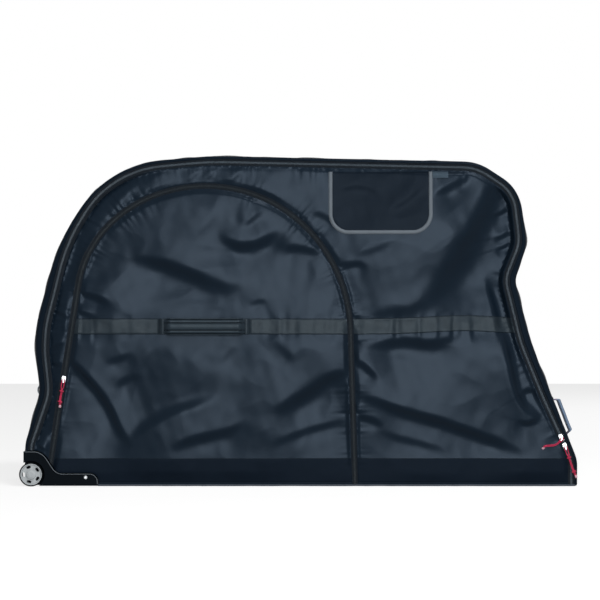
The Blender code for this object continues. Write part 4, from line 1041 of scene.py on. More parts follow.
def cut_cloth(outline, holes, spacing):
    """A flat cut of cloth as points and triangles: inside the outline and outside the holes."""
    rim = resampled(outline, spacing, closed=True)
    lines = [rim] + [resampled(hole, spacing, closed=True) for hole in holes]
    extra = []
    for inset in rim_rows:
        for direction in (1, -1):
            row = beside(rim, direction * inset, closed=True)
            near = nearest(row, closed_line(rim))[0]
            extra.append(row[(near > inset * rim_room_share) & inside(row, rim)])
    low = rim.min(axis=0)
    high = rim.max(axis=0)
    grid = []
    for count, z in enumerate(np.arange(low[1], high[1], spacing * math.sqrt(3) / 2)):
        xs = np.arange(low[0] + (count % 2) * spacing / 2, high[0], spacing)
        grid.append(np.stack((xs, np.full(len(xs), z)), axis=1))
    grid = np.vstack(grid)
    grid = grid[inside(grid, rim)]
    grid = grid[nearest(grid, closed_line(rim))[0] > spacing * grid_room_share]
    points = []
    edges = []
    for line in lines:
        first = len(points)
        points += line.tolist()
        count = len(line)
        edges += [(first + index, first + (index + 1) % count) for index in range(count)]
    points += np.vstack(extra + [grid]).tolist()
    result = delaunay_2d_cdt([Vector(point) for point in points], edges, [], 0, merge_distance)
    flat = np.array([tuple(point) for point in result[0]])
    triangles = np.array(result[2])
    middles = flat[triangles].mean(axis=1)
    keep = inside(middles, rim)
    for hole in holes:
        keep &= ~inside(middles, hole)
    triangles = triangles[keep]
    used = np.unique(triangles)
    renumber = np.full(len(flat), -1)
    renumber[used] = np.arange(len(used))
    return flat[used], renumber[triangles]


def loose_edges(triangles):
    """The edges that only one triangle has, in that triangle's order."""
    pairs = np.vstack((triangles[:, (0, 1)], triangles[:, (1, 2)], triangles[:, (2, 0)]))
    ordered = np.sort(pairs, axis=1)
    _, index, count = np.unique(ordered, axis=0, return_index=True, return_counts=True)
    return pairs[index[count == 1]]


def two_skins(name, outer, inner, triangles, look):
    """A cut of cloth from its two skins and the wall between them."""
    count = len(outer)
    faces = triangles.tolist() + (triangles[:, ::-1] + count).tolist()
    faces += [(b, a, a + count, b + count) for a, b in loose_edges(triangles).tolist()]
    return mesh_piece(name, np.vstack((outer, inner)), faces, look)


def rim_distance(points, rim_points):
    """Distance from each point to the nearest of the rim's points."""
    tree = KDTree(len(rim_points))
    for index, point in enumerate(rim_points.tolist()):
        tree.insert((point[0], point[1], 0), index)
    tree.balance()
    return np.array([tree.find((x, z, 0))[2] for x, z in points.tolist()])


def face_cloth(name, outline, holes, spacing, side, height_of, thickness, look):
    """A cut of cloth on the front or back face, raised by height_of and given its thickness."""
    flat, triangles = cut_cloth(outline, holes, spacing)
    height = height_of(flat)
    edge_gap = rim_distance(flat, flat[np.unique(loose_edges(triangles))])
    roll = min(hem_drop, thickness * hem_share) * np.exp(-(edge_gap / hem_reach) ** 2)
    outer = placed(flat, side * (half_depth + height - roll))
    inner = placed(flat, side * (half_depth + height - thickness))
    return two_skins(name, outer, inner, triangles, look)


def laid_cloth(name, outline, holes, spacing, side, relief, proud, look):
    """A strip or patch that lies on the cloth and stands proud of it."""
    return face_cloth(name, outline, holes, spacing, side, lambda points: relief(points) + proud,
                      proud + trim_tuck, look)


def grid_normals(grid):
    """Unit normals of a grid of points, rows along and columns across."""
    normal = np.cross(np.gradient(grid, axis=0), np.gradient(grid, axis=1))
    return normal / np.maximum(np.linalg.norm(normal, axis=2), 1e-12)[:, :, None]


def grid_faces(rows, columns, closed=False):
    """Quads between neighbouring points of a grid."""
    faces = []
    for row in range(rows - 1):
        for column in range(columns if closed else columns - 1):
            after = (column + 1) % columns
            faces.append((row * columns + column, row * columns + after,
                          (row + 1) * columns + after, (row + 1) * columns + column))
    return faces


def strip_cloth(name, grid, thickness, look, left_out=None):
    """A grid of points made a closed strip of cloth: its thickness lies behind the normals."""
    rows, columns = grid.shape[:2]
    inner = grid - grid_normals(grid) * thickness
    count = rows * columns
    faces = grid_faces(rows, columns)
    if left_out is not None:
        faces = [face for face in faces if not left_out[list(face)].all()]
    directed = {(a, b) for face in faces for a, b in zip(face, face[1:] + face[:1])}
    rim = [(a, b) for a, b in directed if (b, a) not in directed]
    faces += [tuple(index + count for index in reversed(face)) for face in faces]
    faces += [(b, a, a + count, b + count) for a, b in sorted(rim)]
    points = np.vstack((grid.reshape(-1, 3), inner.reshape(-1, 3)))
    return mesh_piece(name, points, faces, look)


def tube_piece(name, grid, look):
    """A closed round skin: rings of points, capped at both ends."""
    rows, columns = grid.shape[:2]
    faces = grid_faces(rows, columns, closed=True)
    faces.append(tuple(range(columns)))
    faces.append(tuple((rows - 1) * columns + column for column in range(columns)))
    return mesh_piece(name, grid.reshape(-1, 3), faces, look, tube_sharp)


def directions(path):
    """Unit directions along a path in space."""
    along = np.gradient(path, axis=0)
    return along / np.linalg.norm(along, axis=1)[:, None]


def rings_round(path, first, second, reach_first, reach_second):
    """Rings of points round a path, from two directions and the reach along each."""
    return (path[:, None, :] + first[:, None, :] * reach_first[:, :, None]
            + second[:, None, :] * reach_second[:, :, None])


def ring_grid(path, radii, sides=8, hint=(0, 1, 0)):
    """Round rings with one radius, or with a pair of radii at each point."""
    path = np.asarray(path, float)
    along = directions(path)
    first = np.cross(along, np.asarray(hint, float))
    first /= np.linalg.norm(first, axis=1)[:, None]
    angle = 2 * math.pi * np.arange(sides) / sides
    radii = np.broadcast_to(np.asarray(radii, float), (len(path), 2))
    return rings_round(path, first, np.cross(first, along), np.cos(angle)[None, :] * radii[:, :1],
                       np.sin(angle)[None, :] * radii[:, 1:])


def strap_piece(name, path, across, width, thickness, look):
    """A flat strap of webbing along a path, its width along one fixed direction."""
    path = np.asarray(path, float)
    across = np.asarray(across, float)
    angle = 2 * math.pi * (np.arange(strap_sides) + 0.5) / strap_sides
    cosine = np.sign(np.cos(angle)) * np.abs(np.cos(angle)) ** strap_squareness
    sine = np.sign(np.sin(angle)) * np.abs(np.sin(angle)) ** strap_squareness
    widths = np.broadcast_to(width / 2 * cosine, (len(path), strap_sides))
    heights = np.broadcast_to(thickness / 2 * sine, (len(path), strap_sides))
    normal = np.cross(directions(path), across)
    rings = rings_round(path, np.broadcast_to(across, path.shape), normal, widths, heights)
    return tube_piece(name, rings, look)


def settle(piece, body, slot, *replaced):
    """Hang a finished piece on its body and hide the nodes it stands for; the material slot is not used.
    """
    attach(piece, body)
    if replaced:
        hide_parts(*replaced)
    return piece


# Materials

def value_of(tree, operation, *inputs):
    """A math node's result."""
    node = tree.nodes.new("ShaderNodeMath")
    node.operation = operation
    for socket, value in zip(node.inputs, inputs):
        if isinstance(value, bpy.types.NodeSocket):
            tree.links.new(value, socket)
        else:
            socket.default_value = value
    return node.outputs[0]


def start_look(name, roughness, specular=0.5, metallic=0.0, sheen=0.0, tint=plain_tint):
    """A new material with its constant values set."""
    look = bpy.data.materials.new(name)
    look.use_nodes = True
    tree = look.node_tree
    shader = tree.nodes["Principled BSDF"]
    for socket, value in (
            ("Roughness", roughness), ("Specular IOR Level", specular),
            ("Specular Tint", (*tint, 1)), ("Metallic", metallic), ("Sheen Weight", sheen),
            ("Sheen Roughness", 0.5)):
        shader.inputs[socket].default_value = value
    return look, tree, shader, tree.nodes.new("ShaderNodeTexCoord").outputs["Object"]


def noise(tree, coordinate, size, detail=3.0, stretch=(1, 1, 1)):
    """Noise whose patches are about one size across."""
    mapping = tree.nodes.new("ShaderNodeMapping")
    mapping.inputs["Scale"].default_value = [share / size for share in stretch]
    tree.links.new(coordinate, mapping.inputs["Vector"])
    node = tree.nodes.new("ShaderNodeTexNoise")
    node.inputs["Scale"].default_value = 1.0
    node.inputs["Detail"].default_value = detail
    tree.links.new(mapping.outputs[0], node.inputs["Vector"])
    return node.outputs["Fac"]


def colour_by(tree, shader, share, colour, patches):
    """Base colour in patches: where they start and end, and how strong they are there."""
    ramp = tree.nodes.new("ShaderNodeValToRGB")
    tree.links.new(share, ramp.inputs["Fac"])
    for element, (position, strength) in zip(ramp.color_ramp.elements, patches):
        element.position = position
        element.color = (*(channel * strength for channel in colour), 1)
    tree.links.new(ramp.outputs["Color"], shader.inputs["Base Color"])


def bump(tree, shader, height, depth):
    """Small relief of the material from a height of about 0 to 1."""
    node = tree.nodes.new("ShaderNodeBump")
    node.inputs["Distance"].default_value = depth
    node.inputs["Strength"].default_value = 1.0
    tree.links.new(height, node.inputs["Height"])
    tree.links.new(node.outputs["Normal"], shader.inputs["Normal"])


def vary_roughness(tree, shader, share, low, high):
    """Roughness from low to high by a share."""
    node = tree.nodes.new("ShaderNodeMapRange")
    tree.links.new(share, node.inputs["Value"])
    node.inputs["To Min"].default_value = low
    node.inputs["To Max"].default_value = high
    tree.links.new(node.outputs["Result"], shader.inputs["Roughness"])


def ribs(tree, value, period):
    """Even ribs along a value, one for each period."""
    return value_of(tree, "SINE", value_of(tree, "MULTIPLY", value, 2 * math.pi / period))


def weave_height(tree, coordinate, period):
    """Crossing threads, seen from any side."""
    split = tree.nodes.new("ShaderNodeSeparateXYZ")
    tree.links.new(coordinate, split.inputs[0])
    x, y, z = split.outputs
    return value_of(tree, "MULTIPLY", ribs(tree, value_of(tree, "ADD", x, y), period),
                    ribs(tree, value_of(tree, "SUBTRACT", z, y), period))


def cloth_look(name, colour, roughness, period, specular, depth):
    """Woven cloth: crossing threads, slight patches of colour, fine fuzz."""
    look, tree, shader, coordinate = start_look(name, roughness, specular, tint=cloth_tint)
    threads = weave_height(tree, coordinate, period)
    fuzz = noise(tree, coordinate, period * 3, 2.0)
    colour_by(tree, shader, noise(tree, coordinate, patch_size, 4.0), colour, cloth_patches)
    bump(tree, shader, value_of(tree, "ADD", threads, fuzz), depth)
    return look


def ribbed_look(name, colour, roughness, period, stretch, specular, depth, sheen, tint):
    """Webbing or tape: close ribs with a slight unevenness."""
    look, tree, shader, coordinate = start_look(name, roughness, specular, sheen=sheen, tint=tint)
    dot = tree.nodes.new("ShaderNodeVectorMath")
    dot.operation = "DOT_PRODUCT"
    tree.links.new(coordinate, dot.inputs[0])
    dot.inputs[1].default_value = stretch
    threads = weave_height(tree, coordinate, period / 2)
    colour_by(tree, shader, noise(tree, coordinate, rib_patch_size, 4.0), colour, rib_patches)
    height = value_of(tree, "ADD", ribs(tree, dot.outputs["Value"], period),
                      value_of(tree, "MULTIPLY", threads, 0.5))
    bump(tree, shader, height, depth)
    return look


def plastic_look(name, colour, roughness, grain, depth, specular):
    """Moulded plastic: fine grain and faint scuffs."""
    look, tree, shader, coordinate = start_look(name, roughness, specular)
    scuffs = noise(tree, coordinate, scuff_size, 5.0, (1, 1, 0.3))
    colour_by(tree, shader, scuffs, colour, scuff_patches)
    vary_roughness(tree, shader, scuffs, roughness - scuff_polish, roughness + scuff_wear)
    bump(tree, shader, noise(tree, coordinate, grain, 3.0), depth)
    return look


def metal_look(name, colour, roughness):
    """Plated metal with faint handling marks."""
    look, tree, shader, coordinate = start_look(name, roughness, 0.5, metallic=1.0)
    marks = noise(tree, coordinate, mark_size, 5.0)
    colour_by(tree, shader, marks, colour, mark_patches)
    vary_roughness(tree, shader, marks, *(roughness * share for share in mark_shares))
    bump(tree, shader, noise(tree, coordinate, haze_size, 2.0), haze_depth)
    return look


(gusset_look, shell_look, patch_look, base_look, lining_look, piping_look, base_piping_look,
 seam_and_shade_look, foam_look, tab_look, tow_look, tow_stripe_look, tow_line_look) = (
    cloth_look(*row) for row in cloths)
tape_look, webbing_look, dark_webbing_look, cord_look, handle_look = (
    ribbed_look(*row) for row in weaves)
(teeth_look, arch_teeth_look, moulding_look, painted_highlight_look, hub_look, rubber_look,
 cord_tip_look, board_look) = (plastic_look(*row) for row in plastics)
chrome_look, ring_look = (metal_look(*row) for row in metals)


# Camera and light

def build_camera():
    """The photograph's view, square on to the front."""
    camera = bpy.data.cameras.new("camera")
    camera.sensor_width = sensor_width * millimetres
    camera.lens = camera_focal * millimetres
    camera.clip_end = camera_reach
    holder = bpy.data.objects.new("camera", camera)
    holder.location = camera_place
    holder.rotation_euler = (math.pi / 2, 0, 0)
    bpy.context.scene.collection.objects.link(holder)
    bpy.context.scene.camera = holder


def build_lamp(name, place, size, power):
    """A rectangular lamp that looks at the bag's middle."""
    lamp = bpy.data.lights.new(name, "AREA")
    lamp.shape = "RECTANGLE"
    lamp.size, lamp.size_y = size
    lamp.energy = power
    holder = bpy.data.objects.new(name, lamp)
    holder.location = place
    aim = Vector(lamp_target) - Vector(place)
    holder.rotation_euler = aim.to_track_quat("-Z", "Y").to_euler()
    bpy.context.scene.collection.objects.link(holder)


def build_world():
    """An even pale sky, white where the camera, metal or glass sees it."""
    world = bpy.data.worlds.new("studio")
    world.use_nodes = True
    bpy.context.scene.world = world
    tree = world.node_tree
    background = tree.nodes["Background"]
    path = tree.nodes.new("ShaderNodeLightPath")
    seen = value_of(tree, "MAXIMUM", path.outputs["Is Camera Ray"], path.outputs["Is Glossy Ray"])
    seen = value_of(tree, "MAXIMUM", seen, path.outputs["Is Transmission Ray"])
    level = value_of(
        tree, "ADD", world_level, value_of(tree, "MULTIPLY", seen, 1 - world_level))
    background.inputs["Color"].default_value = (1, 1, 1, 1)
    tree.links.new(level, background.inputs["Strength"])


def build_floor():
    """A pale floor that stays white round the bag and keeps its shadow."""
    half = floor_size / 2
    mesh = bpy.data.meshes.new("floor")
    mesh.from_pydata(
        [(-half, -half, 0), (half, -half, 0), (half, half, 0), (-half, half, 0)], [], [(0, 1, 2, 3)])
    look = bpy.data.materials.new("floor")
    look.use_nodes = True
    tree = look.node_tree
    shader = tree.nodes["Principled BSDF"]
    shader.inputs["Base Color"].default_value = (*floor_colour, 1)
    shader.inputs["Roughness"].default_value = 0.9
    shader.inputs["Specular IOR Level"].default_value = 0.0
    path = tree.nodes.new("ShaderNodeLightPath")
    seen = value_of(tree, "MAXIMUM", path.outputs["Is Camera Ray"], path.outputs["Is Glossy Ray"])
    tree.links.new(value_of(tree, "MULTIPLY", seen, floor_glow), shader.inputs["Emission Strength"])
    shader.inputs["Emission Color"].default_value = (1, 1, 1, 1)
    mesh.materials.append(look)
    floor = bpy.data.objects.new("floor", mesh)
    bpy.context.scene.collection.objects.link(floor)


# Zip pulls

class Spot:
    """A place on the bag with its own directions: along, proud of the surface, and across."""

    def __init__(self, origin, along, proud, across):
        self.origin, self.along, self.proud, self.across = (
            np.array(each, float) for each in (origin, along, proud, across))

    def at(self, along, proud, across):
        """Points at distances along, proud of and across the spot."""
        along, proud, across = (np.asarray(each, float)[..., None] for each in (along, proud, across))
        return self.origin + along * self.along + proud * self.proud + across * self.across


def longer(route):
    """A hanging route let out below its upper knot, and leaning."""
    result = []
    for along, proud, across in route:
        lean = lower_pull_drift_share * max(0, along - loop_shoulder)
        share = min(1, max(0, (along - stretch_from) / stretch_from))
        result.append((along + lower_pull_extra * share, proud, across + lean))
    return result


def build_knot(name, spot, place, turn):
    """A cord's overhand knot: a fat ring of cord round its two strands."""
    angle = np.linspace(0, knot_turns * 2 * math.pi, 34)
    along = (place[0] + knot_sway * np.cos(angle / (knot_turns * 2) + turn)
             + (angle / angle[-1] - 0.5) * knot_pitch)
    across = place[2] + knot_half_width * np.cos(angle + turn)
    proud = place[1] + knot_half_height * np.sin(angle + turn)
    path = spot.at(along, np.maximum(proud, knot_floor), across)
    return tube_piece(name, ring_grid(path, knot_cord_radius, 8, spot.along), cord_look)


def build_pull(label, spot, out, back, knots):
    """A doubled cord with its knots and its tip."""
    name = f"{label}_cord"
    route = smooth_line(spot.at(*np.array(list(out) + list(back)).T))
    cord = tube_piece(name, ring_grid(route, cord_diameter / 2, 10, cord_hint), cord_look)
    pieces = []
    for number, knot in enumerate(knots):
        pieces.append(build_knot(f"{name}_knot_{number + 1}", spot, knot, number * knot_twist))
    tail = np.array(back[0])
    heading = tail - (np.array(out[-1]) + np.array(back[1])) / 2
    heading /= np.linalg.norm(heading)
    stations = np.linspace(*tip_shares, 9)
    centre = tail + heading[None, :] * (stations * tip_length)[:, None]
    radius = tip_radius * np.sqrt(np.clip(1 - (stations / tip_round_share) ** 4, tip_end_share, 1))
    radii = np.stack((radius * tip_flatness, radius), axis=1)
    tip_rings = ring_grid(spot.at(*centre.T), radii, 12, spot.proud)
    pieces.append(tube_piece(f"{name}_tip", tip_rings, cord_tip_look))
    settle(cord, label, "pull_cord", label)
    for piece in pieces:
        settle(piece, label, "pull_cord")


def build_pulls():
    """The three sliders' cords."""
    outward = (0, -1, 0)
    build_pull("arch_pull", Spot(arch_spot, arch_along, outward, arch_across),
               hanging_out, hanging_back, hanging_knots)
    build_pull("upper_pull", Spot(upper_spot, side_along, outward, side_across),
               side_out, side_back, side_knots)
    build_pull("lower_pull", Spot(lower_spot, side_along, outward, side_across),
               longer(hanging_out), longer(hanging_back), longer(hanging_knots))


# Front and back cloth

def build_front_cloth():
    """The panel inside the main zip and the flap inside the arch zip."""
    around = np.vstack((beside(main_line, main_edge), beside(arch_line, -arch_edge)[::-1]))
    within = beside(arch_line, arch_edge)
    for label, outline, relief in (("panel", around, panel_relief), ("flap", within, flap_relief)):
        cloth = face_cloth(f"{label}_cloth", above_foot(outline), [bracket_notch], cloth_spacing,
                           FRONT, relief, fabric, shell_look)
        settle(cloth, f"front_{label}", "shell_fabric", f"front_{label}")


def edge_threads_and_shade(piece, low, high, bow=None):
    """A dark line along both long edges of a strap: seam thread, and painted shade where the strap's
    edge meets the cloth.
    """
    piece.data.materials.append(seam_and_shade_look)
    for polygon in piece.data.polygons:
        x, _, z = polygon.center
        lift = bow(np.array((x,)))[0] if bow else 0
        if min(z - lift - low, high + lift - z) < seam_and_shade_width:
            polygon.material_index = 1


def trim_outline(left_path, right_path, low, high, margin):
    """A strip between two lines and two heights, following both lines."""
    left = []
    right = []
    for z in np.linspace(low, high, 8):
        left.append((crossing(left_path, z) + margin, z))
        right.append((crossing(right_path, z, True) - margin, z))
    return np.array(right + left[::-1])


def webbing_lift(xs):
    """How far the webbing bows up along the panel."""
    return webbing_bow * np.exp(-((xs - bow_middle) / bow_reach) ** 2)


def build_front_strips():
    """The dark base band and the webbing, each in two parts: on the panel and on the flap."""
    outer = beside(main_line, main_edge)
    right_leg = beside(arch_line, -arch_edge)[-right_leg_points:]
    flap_edge = beside(arch_line, arch_edge)
    for kind, name, low, high, holes, proud, look, slot, bow in (
            ("band", "base_band", band_foot, band_top, [bracket_notch], band_thickness,
             base_look, "base_fabric", None),
            ("webbing", "webbing_strip", webbing_low, webbing_high, [], webbing_thickness,
             webbing_look, "webbing", webbing_lift)):
        panel = trim_outline(right_leg, outer, low, high, trim_gap)
        if bow:
            panel = resampled(panel, guide_spacing, closed=True)
            panel[:, 1] += bow(panel[:, 0])
        flap = trim_outline(flap_edge, flap_edge, low, high, trim_gap)
        for part, outline, relief, part_bow in (
                ("panel", panel, panel_relief, bow), ("flap", flap, flap_relief, None)):
            strip = laid_cloth(f"{part}_{name}", outline, holes, cloth_spacing, FRONT, relief, proud,
                               look)
            edge_threads_and_shade(strip, low, high, part_bow)
            settle(strip, f"front_{part}", slot, f"front_{part}_{kind}")


def build_back():
    """The back cloth with its base band and its webbing."""
    outline = above_foot(beside(shell_line, back_lip))
    back = face_cloth("back_cloth", outline, [wheel_well], back_spacing, BACK, back_relief,
                      fabric, shell_look)
    settle(back, "bag_body", "shell_fabric", "back_panel")
    band = laid_cloth(
        "back_base_band", trim_outline(outline, outline, band_foot, band_top, back_trim_gap),
        [bracket_notch], back_spacing, BACK, back_relief, band_thickness, base_look)
    settle(band, "bag_body", "base_fabric")
    strip = laid_cloth(
        "back_webbing_strip", trim_outline(outline, outline, webbing_low, webbing_high, back_trim_gap),
        [], trim_spacing, BACK, back_relief, webbing_thickness, webbing_look)
    settle(strip, "bag_body", "webbing", "back_webbing")


# Zips

def build_teeth(name, line, hand, body, node, look):
    """Half of a coil zip: a row of rounded teeth beside the middle line."""
    path = evenly(line, tooth_pitch)
    if hand > 0:
        path = (path[1:] + path[:-1]) / 2
    along = np.gradient(path, axis=0)
    along /= np.hypot(*along.T)[:, None]
    right = np.stack((along[:, 1], -along[:, 0]), axis=1) * hand
    keep = ~inside(path, bracket_notch)
    path, along, right = path[keep], along[keep], right[keep]
    rise = carrier(path)
    angle = 2 * math.pi * (np.arange(tooth_sides) + 0.5) / tooth_sides
    half_high = (tooth_back - tooth_front) / 2
    rings = []
    for reach, share in zip(tooth_reaches, tooth_shares):
        offset = tooth_length / 2 * share * np.cos(angle)
        depth = half_high * share * np.sin(angle)
        flat = (path[:, None, :] + right[:, None, :] * reach
                + along[:, None, :] * offset[None, :, None])
        y = -(half_depth + rise[:, None] - tooth_front - half_high + depth[None, :])
        rings.append(np.stack((flat[:, :, 0], y, flat[:, :, 1]), axis=2))
    block = np.stack(rings, axis=1)
    starts = np.arange(len(path)) * len(tooth_reaches) * tooth_sides
    base = np.array(grid_faces(len(tooth_reaches), tooth_sides, closed=True))
    first = np.arange(tooth_sides)
    faces = (base[None, :, :] + starts[:, None, None]).reshape(-1, 4).tolist()
    faces += [tuple(first + start) for start in starts]
    last = (len(tooth_reaches) - 1) * tooth_sides
    faces += [tuple(first + last + start) for start in starts]
    piece = mesh_piece(name, block.reshape(-1, 3), faces, look)
    return settle(piece, body, "zip_teeth", node)


def build_tape(name, line, hand, edge, body, node):
    """Half of a zip's tape, from under the teeth to under the cloth's edge."""
    outline = above_foot(np.vstack((
        beside(line, hand * tape_reaches[0]), beside(line, hand * (edge + tape_tuck))[::-1])))
    reaches = np.array(tape_reaches) + (edge - arch_edge) * (np.array(tape_reaches) > chain_half * 2)

    def height(points):
        return carrier(points) - np.interp(nearest(points, line)[0], reaches, tape_depths)

    tape = face_cloth(name, outline, [bracket_notch], tape_spacing, FRONT, height, tape_thickness,
                      tape_look)
    return settle(tape, body, "zip_tape", node)


def build_zips():
    """Both zips, each with two rows of teeth and two tapes."""
    for name, line, hand, edge, body, look in (
            ("main_zip_outer", main_line, -1, main_edge, "bag_body", teeth_look),
            ("main_zip_inner", main_line, 1, main_edge, "front_panel", teeth_look),
            ("arch_zip_outer", arch_line, -1, arch_edge, "front_panel", arch_teeth_look),
            ("arch_zip_inner", arch_line, 1, arch_edge, "front_flap", arch_teeth_look)):
        build_teeth(f"{name}_coil", line, hand, body, f"{name}_teeth", look)
        build_tape(f"{name}_band", line, hand, edge, body, f"{name}_tape")


# Gusset

def gusset_grid(path):
    """The wall's outside, rows along the outline and columns from front lip to back lip."""
    inset = zip_inset(path[:, 1]) - main_edge
    corner = np.minimum(gusset_corner, inset * lip_corner_share)
    from_tow = np.hypot(path[:, 0] - tow_spot[0], path[:, 1] - tow_spot[2]) - tow_length / 2
    rise = smooth_step(path[:, 1], foot, foot + bulge_ramp)
    rise *= 1 - tow_calm_share * np.exp(-(np.maximum(from_tow, 0) / calm_reach) ** 2)
    well_y = half_depth - well_depth - well_gap
    stations = [(inset, -half_depth + lip_tuck), (inset - lip_fold, -half_depth + lip_skin),
                ((inset + corner) / 2, -half_depth - lip_crown)]
    for share in (1.0, 0.8, 0.6, 0.4, 0.2, 0.0):
        angle = share * math.pi / 2
        stations.append((corner * (1 - math.cos(angle)), -half_depth + corner * (1 - math.sin(angle))))
    for y in [-well_y, *np.linspace(-well_y, well_y, 16)[1:-1], well_y]:
        stations.append((-wall_bulge * math.cos(math.pi / 2 * y / half_depth) ** 0.7 * rise, y))
    for share in (0.0, 0.25, 0.5, 0.75, 1.0):
        angle = share * math.pi / 2
        stations.append((gusset_corner * (1 - math.cos(angle)),
                         half_depth - gusset_corner * (1 - math.sin(angle))))
    stations.append((back_lip + back_lip_lap, half_depth + back_lip_rise))
    grid = np.stack([placed(beside(path, np.broadcast_to(distance, len(path))), y)
                     for distance, y in stations], axis=1)
    grid[:, :, 2] = np.maximum(grid[:, :, 2], foot - gusset_foot_drop)
    return grid


def build_gusset():
    """The soft wall round the bag, with its lip by the zip."""
    path = evenly(shell_line, gusset_spacing)
    grid = gusset_grid(path)
    rows, columns = grid.shape[:2]
    flat = np.stack((np.repeat(travelled(path), columns), grid[:, :, 1].reshape(-1)), axis=1)
    wrinkle = fine_wrinkle_rise * waves(flat, 31, fine_wrinkle_length)
    wrinkle += wrinkle_rise * (1 - np.abs(waves(flat, 33, wrinkle_length)))
    wall = smooth_step(half_depth - np.abs(grid[:, :, 1]), 0, wrinkle_ramp)
    normal = grid_normals(grid)
    middle = columns // 2
    from_middle = grid[:, middle] - np.array((0, 0, gusset_middle))
    outward = np.sign((normal[:, middle] * from_middle).sum(axis=1))[:, None, None]
    grid = grid - normal * outward * (wrinkle.reshape(rows, columns) * wall)[:, :, None]
    if outward.mean() < 0:
        grid = grid[:, ::-1]
    flat = grid.reshape(-1, 3)
    in_well = np.hypot(flat[:, 0] - wheel_centre[0], flat[:, 2] - wheel_centre[1]) < well_radius
    in_well &= np.abs(flat[:, 1]) > half_depth - well_depth - 2 * well_gap
    wall_piece = strip_cloth("gusset_cloth", grid, gusset_thickness, gusset_look, left_out=in_well)
    wall_piece.data.materials.append(base_look)
    for polygon in wall_piece.data.polygons:
        if polygon.center.z < band_top:
            polygon.material_index = 1
    settle(wall_piece, "bag_body", "shell_fabric", "gusset_left", "gusset_top", "gusset_right")


# Name patch and tab

def build_patch():
    """The bare patch under the top seam with its piping."""
    bottom = patch_top - patch_drop
    edge_line = resampled(rounded_path((
        (patch_right, patch_top, 0), (patch_right, bottom, patch_corner_radius),
        (patch_left, bottom, patch_corner_radius), (patch_left, patch_top, 0))), patch_step)
    patch = laid_cloth("name_patch_cloth", beside(edge_line, patch_piping_width * piping_lap_share), [],
                       trim_spacing, FRONT, panel_relief, patch_thickness, patch_look)
    settle(patch, "front_panel", "shell_fabric", "name_patch")
    columns = []
    for share in np.linspace(0, 1, 7):
        moved = beside(edge_line, patch_piping_width * share)
        rise = panel_relief(moved) + piping_proud + piping_crown * math.sin(math.pi * share) ** 0.6
        columns.append(placed(moved, -(half_depth + rise)))
    piping = strip_cloth("name_patch_edge", np.stack(columns, axis=1), piping_thickness, piping_look)
    settle(piping, "front_panel", "reflective_piping", "name_patch_piping")


def build_tab():
    """The small folded tab beside the patch."""
    left = patch_right + tab_gap
    xs = np.linspace(left, left + tab_size[0], 16)
    rows = []
    for share in np.linspace(0, 1, 9):
        flat = np.stack((xs, np.full(len(xs), patch_top - tab_size[1] * share)), axis=1)
        curl = tab_curl * math.sin(math.pi * min(1, share * 1.1)) + tab_proud * share
        rise = panel_relief(flat) + tab_proud + curl + tab_wave_rise * np.sin(xs / tab_wave_reach)
        rows.append(placed(flat, -(half_depth + rise)))
    tab = strip_cloth("hang_tab_cloth", np.array(rows)[:, ::-1], tab_thickness, tab_look)
    settle(tab, "front_panel", "tab_fabric", "hang_tab")


# Handles, straps and loops

def grip_piece(name, spot, length, width, rise, lift, look, flatness=1.0, seams_and_shade=True):
    """A padded grip with sewn borders and a raised rib along its middle."""
    shares = np.linspace(-1, 1, grip_rings)
    along = shares * length / 2
    swell, rib, end = (smooth_step(1 - np.abs(shares), low, high)
                       for low, high in ((0, 0.16), (0.01, 0.06), (0, 0.09)))
    wobble = grip_wobble * waves(one_way(along), 41, grip_wobble_length)
    proud = lift + grip_clearance + handle_axis_proud + rise * swell + wobble * swell
    across, thickness = (grip_section * (width, flatness)).T
    rings = []
    for index in range(len(along)):
        half = grip_end_half + (thickness / 2 - grip_end_half) * rib[index]
        wide = across * (1 - grip_end_narrowing * (1 - end[index]))
        outer = spot.at(along[index] + 0 * across, proud[index] + half, wide)
        inner = spot.at(along[index] + 0 * across, proud[index] - half * grip_back_share, wide)
        rings.append(np.vstack((outer, inner[::-1])))
    grip = tube_piece(name, np.array(rings), look)
    # Dark lines in the grip's valleys: seam thread and painted shade
    grip.data.materials.append(seam_and_shade_look)
    for polygon in grip.data.polygons:
        share = abs(float((np.array(polygon.center) - spot.origin) @ spot.across)) / width
        gap = min(abs(share - valley) for valley in grip_valley_shares)
        if seams_and_shade and gap < grip_seam_and_shade_share:
            polygon.material_index = 1
    return grip


def anchor_path(spot, near, direction, lift):
    """The fold of webbing that stands at a grip's end: up, over and back down."""
    return smooth_line([spot.at(direction * (near + reach), proud + lift, 0)
                        for reach, proud in anchor_profile], 5)


def build_handle(side, label, swing_body, cloth_body, relief):
    """A padded carry handle between its two sewn folds of webbing."""
    across = (0, 0, 1)
    xs = np.linspace(-1.1, 1.1, 12) * handle_length / 2
    flat = np.stack((handle_middle + xs, xs * 0 + webbing_height), axis=1)
    slope = np.polyfit(xs, relief(flat), 2)
    lift = np.polyval(slope, np.linspace(-1, 1, grip_rings) * handle_length / 2)
    spot = Spot((handle_middle, side * half_depth, webbing_height), (1, 0, 0), (0, side, 0), across)
    handle = grip_piece(f"carry_grip_{label}", spot, handle_length, handle_width, handle_rise,
                        lift, handle_look)
    settle(handle, swing_body, "webbing", f"carry_handle_{label}")
    for direction, end in ((-1, "left"), (1, "right")):
        path = anchor_path(spot, handle_length / 2, direction, lift[0 if direction < 0 else -1])
        fold = strap_piece(f"handle_fold_{label}_{end}", path, across, handle_fold_width,
                           strap_thickness, webbing_look)
        settle(fold, cloth_body, "webbing")


def build_ring_tab():
    """A fold of webbing sewn to the bag's end round the ring's bar."""
    spot = Spot(ring_spot, ring_along, ring_proud, (0, 1, 0))
    path = smooth_line([spot.at(0, proud, across) for across, proud in mirrored(ring_tab_half)], 4)
    tab = strap_piece("ring_tab_webbing", path, ring_along, ring_tab_width, ring_tab_thickness,
                      dark_webbing_look)
    settle(tab, "bag_body", "dark_webbing", "ring_tab")


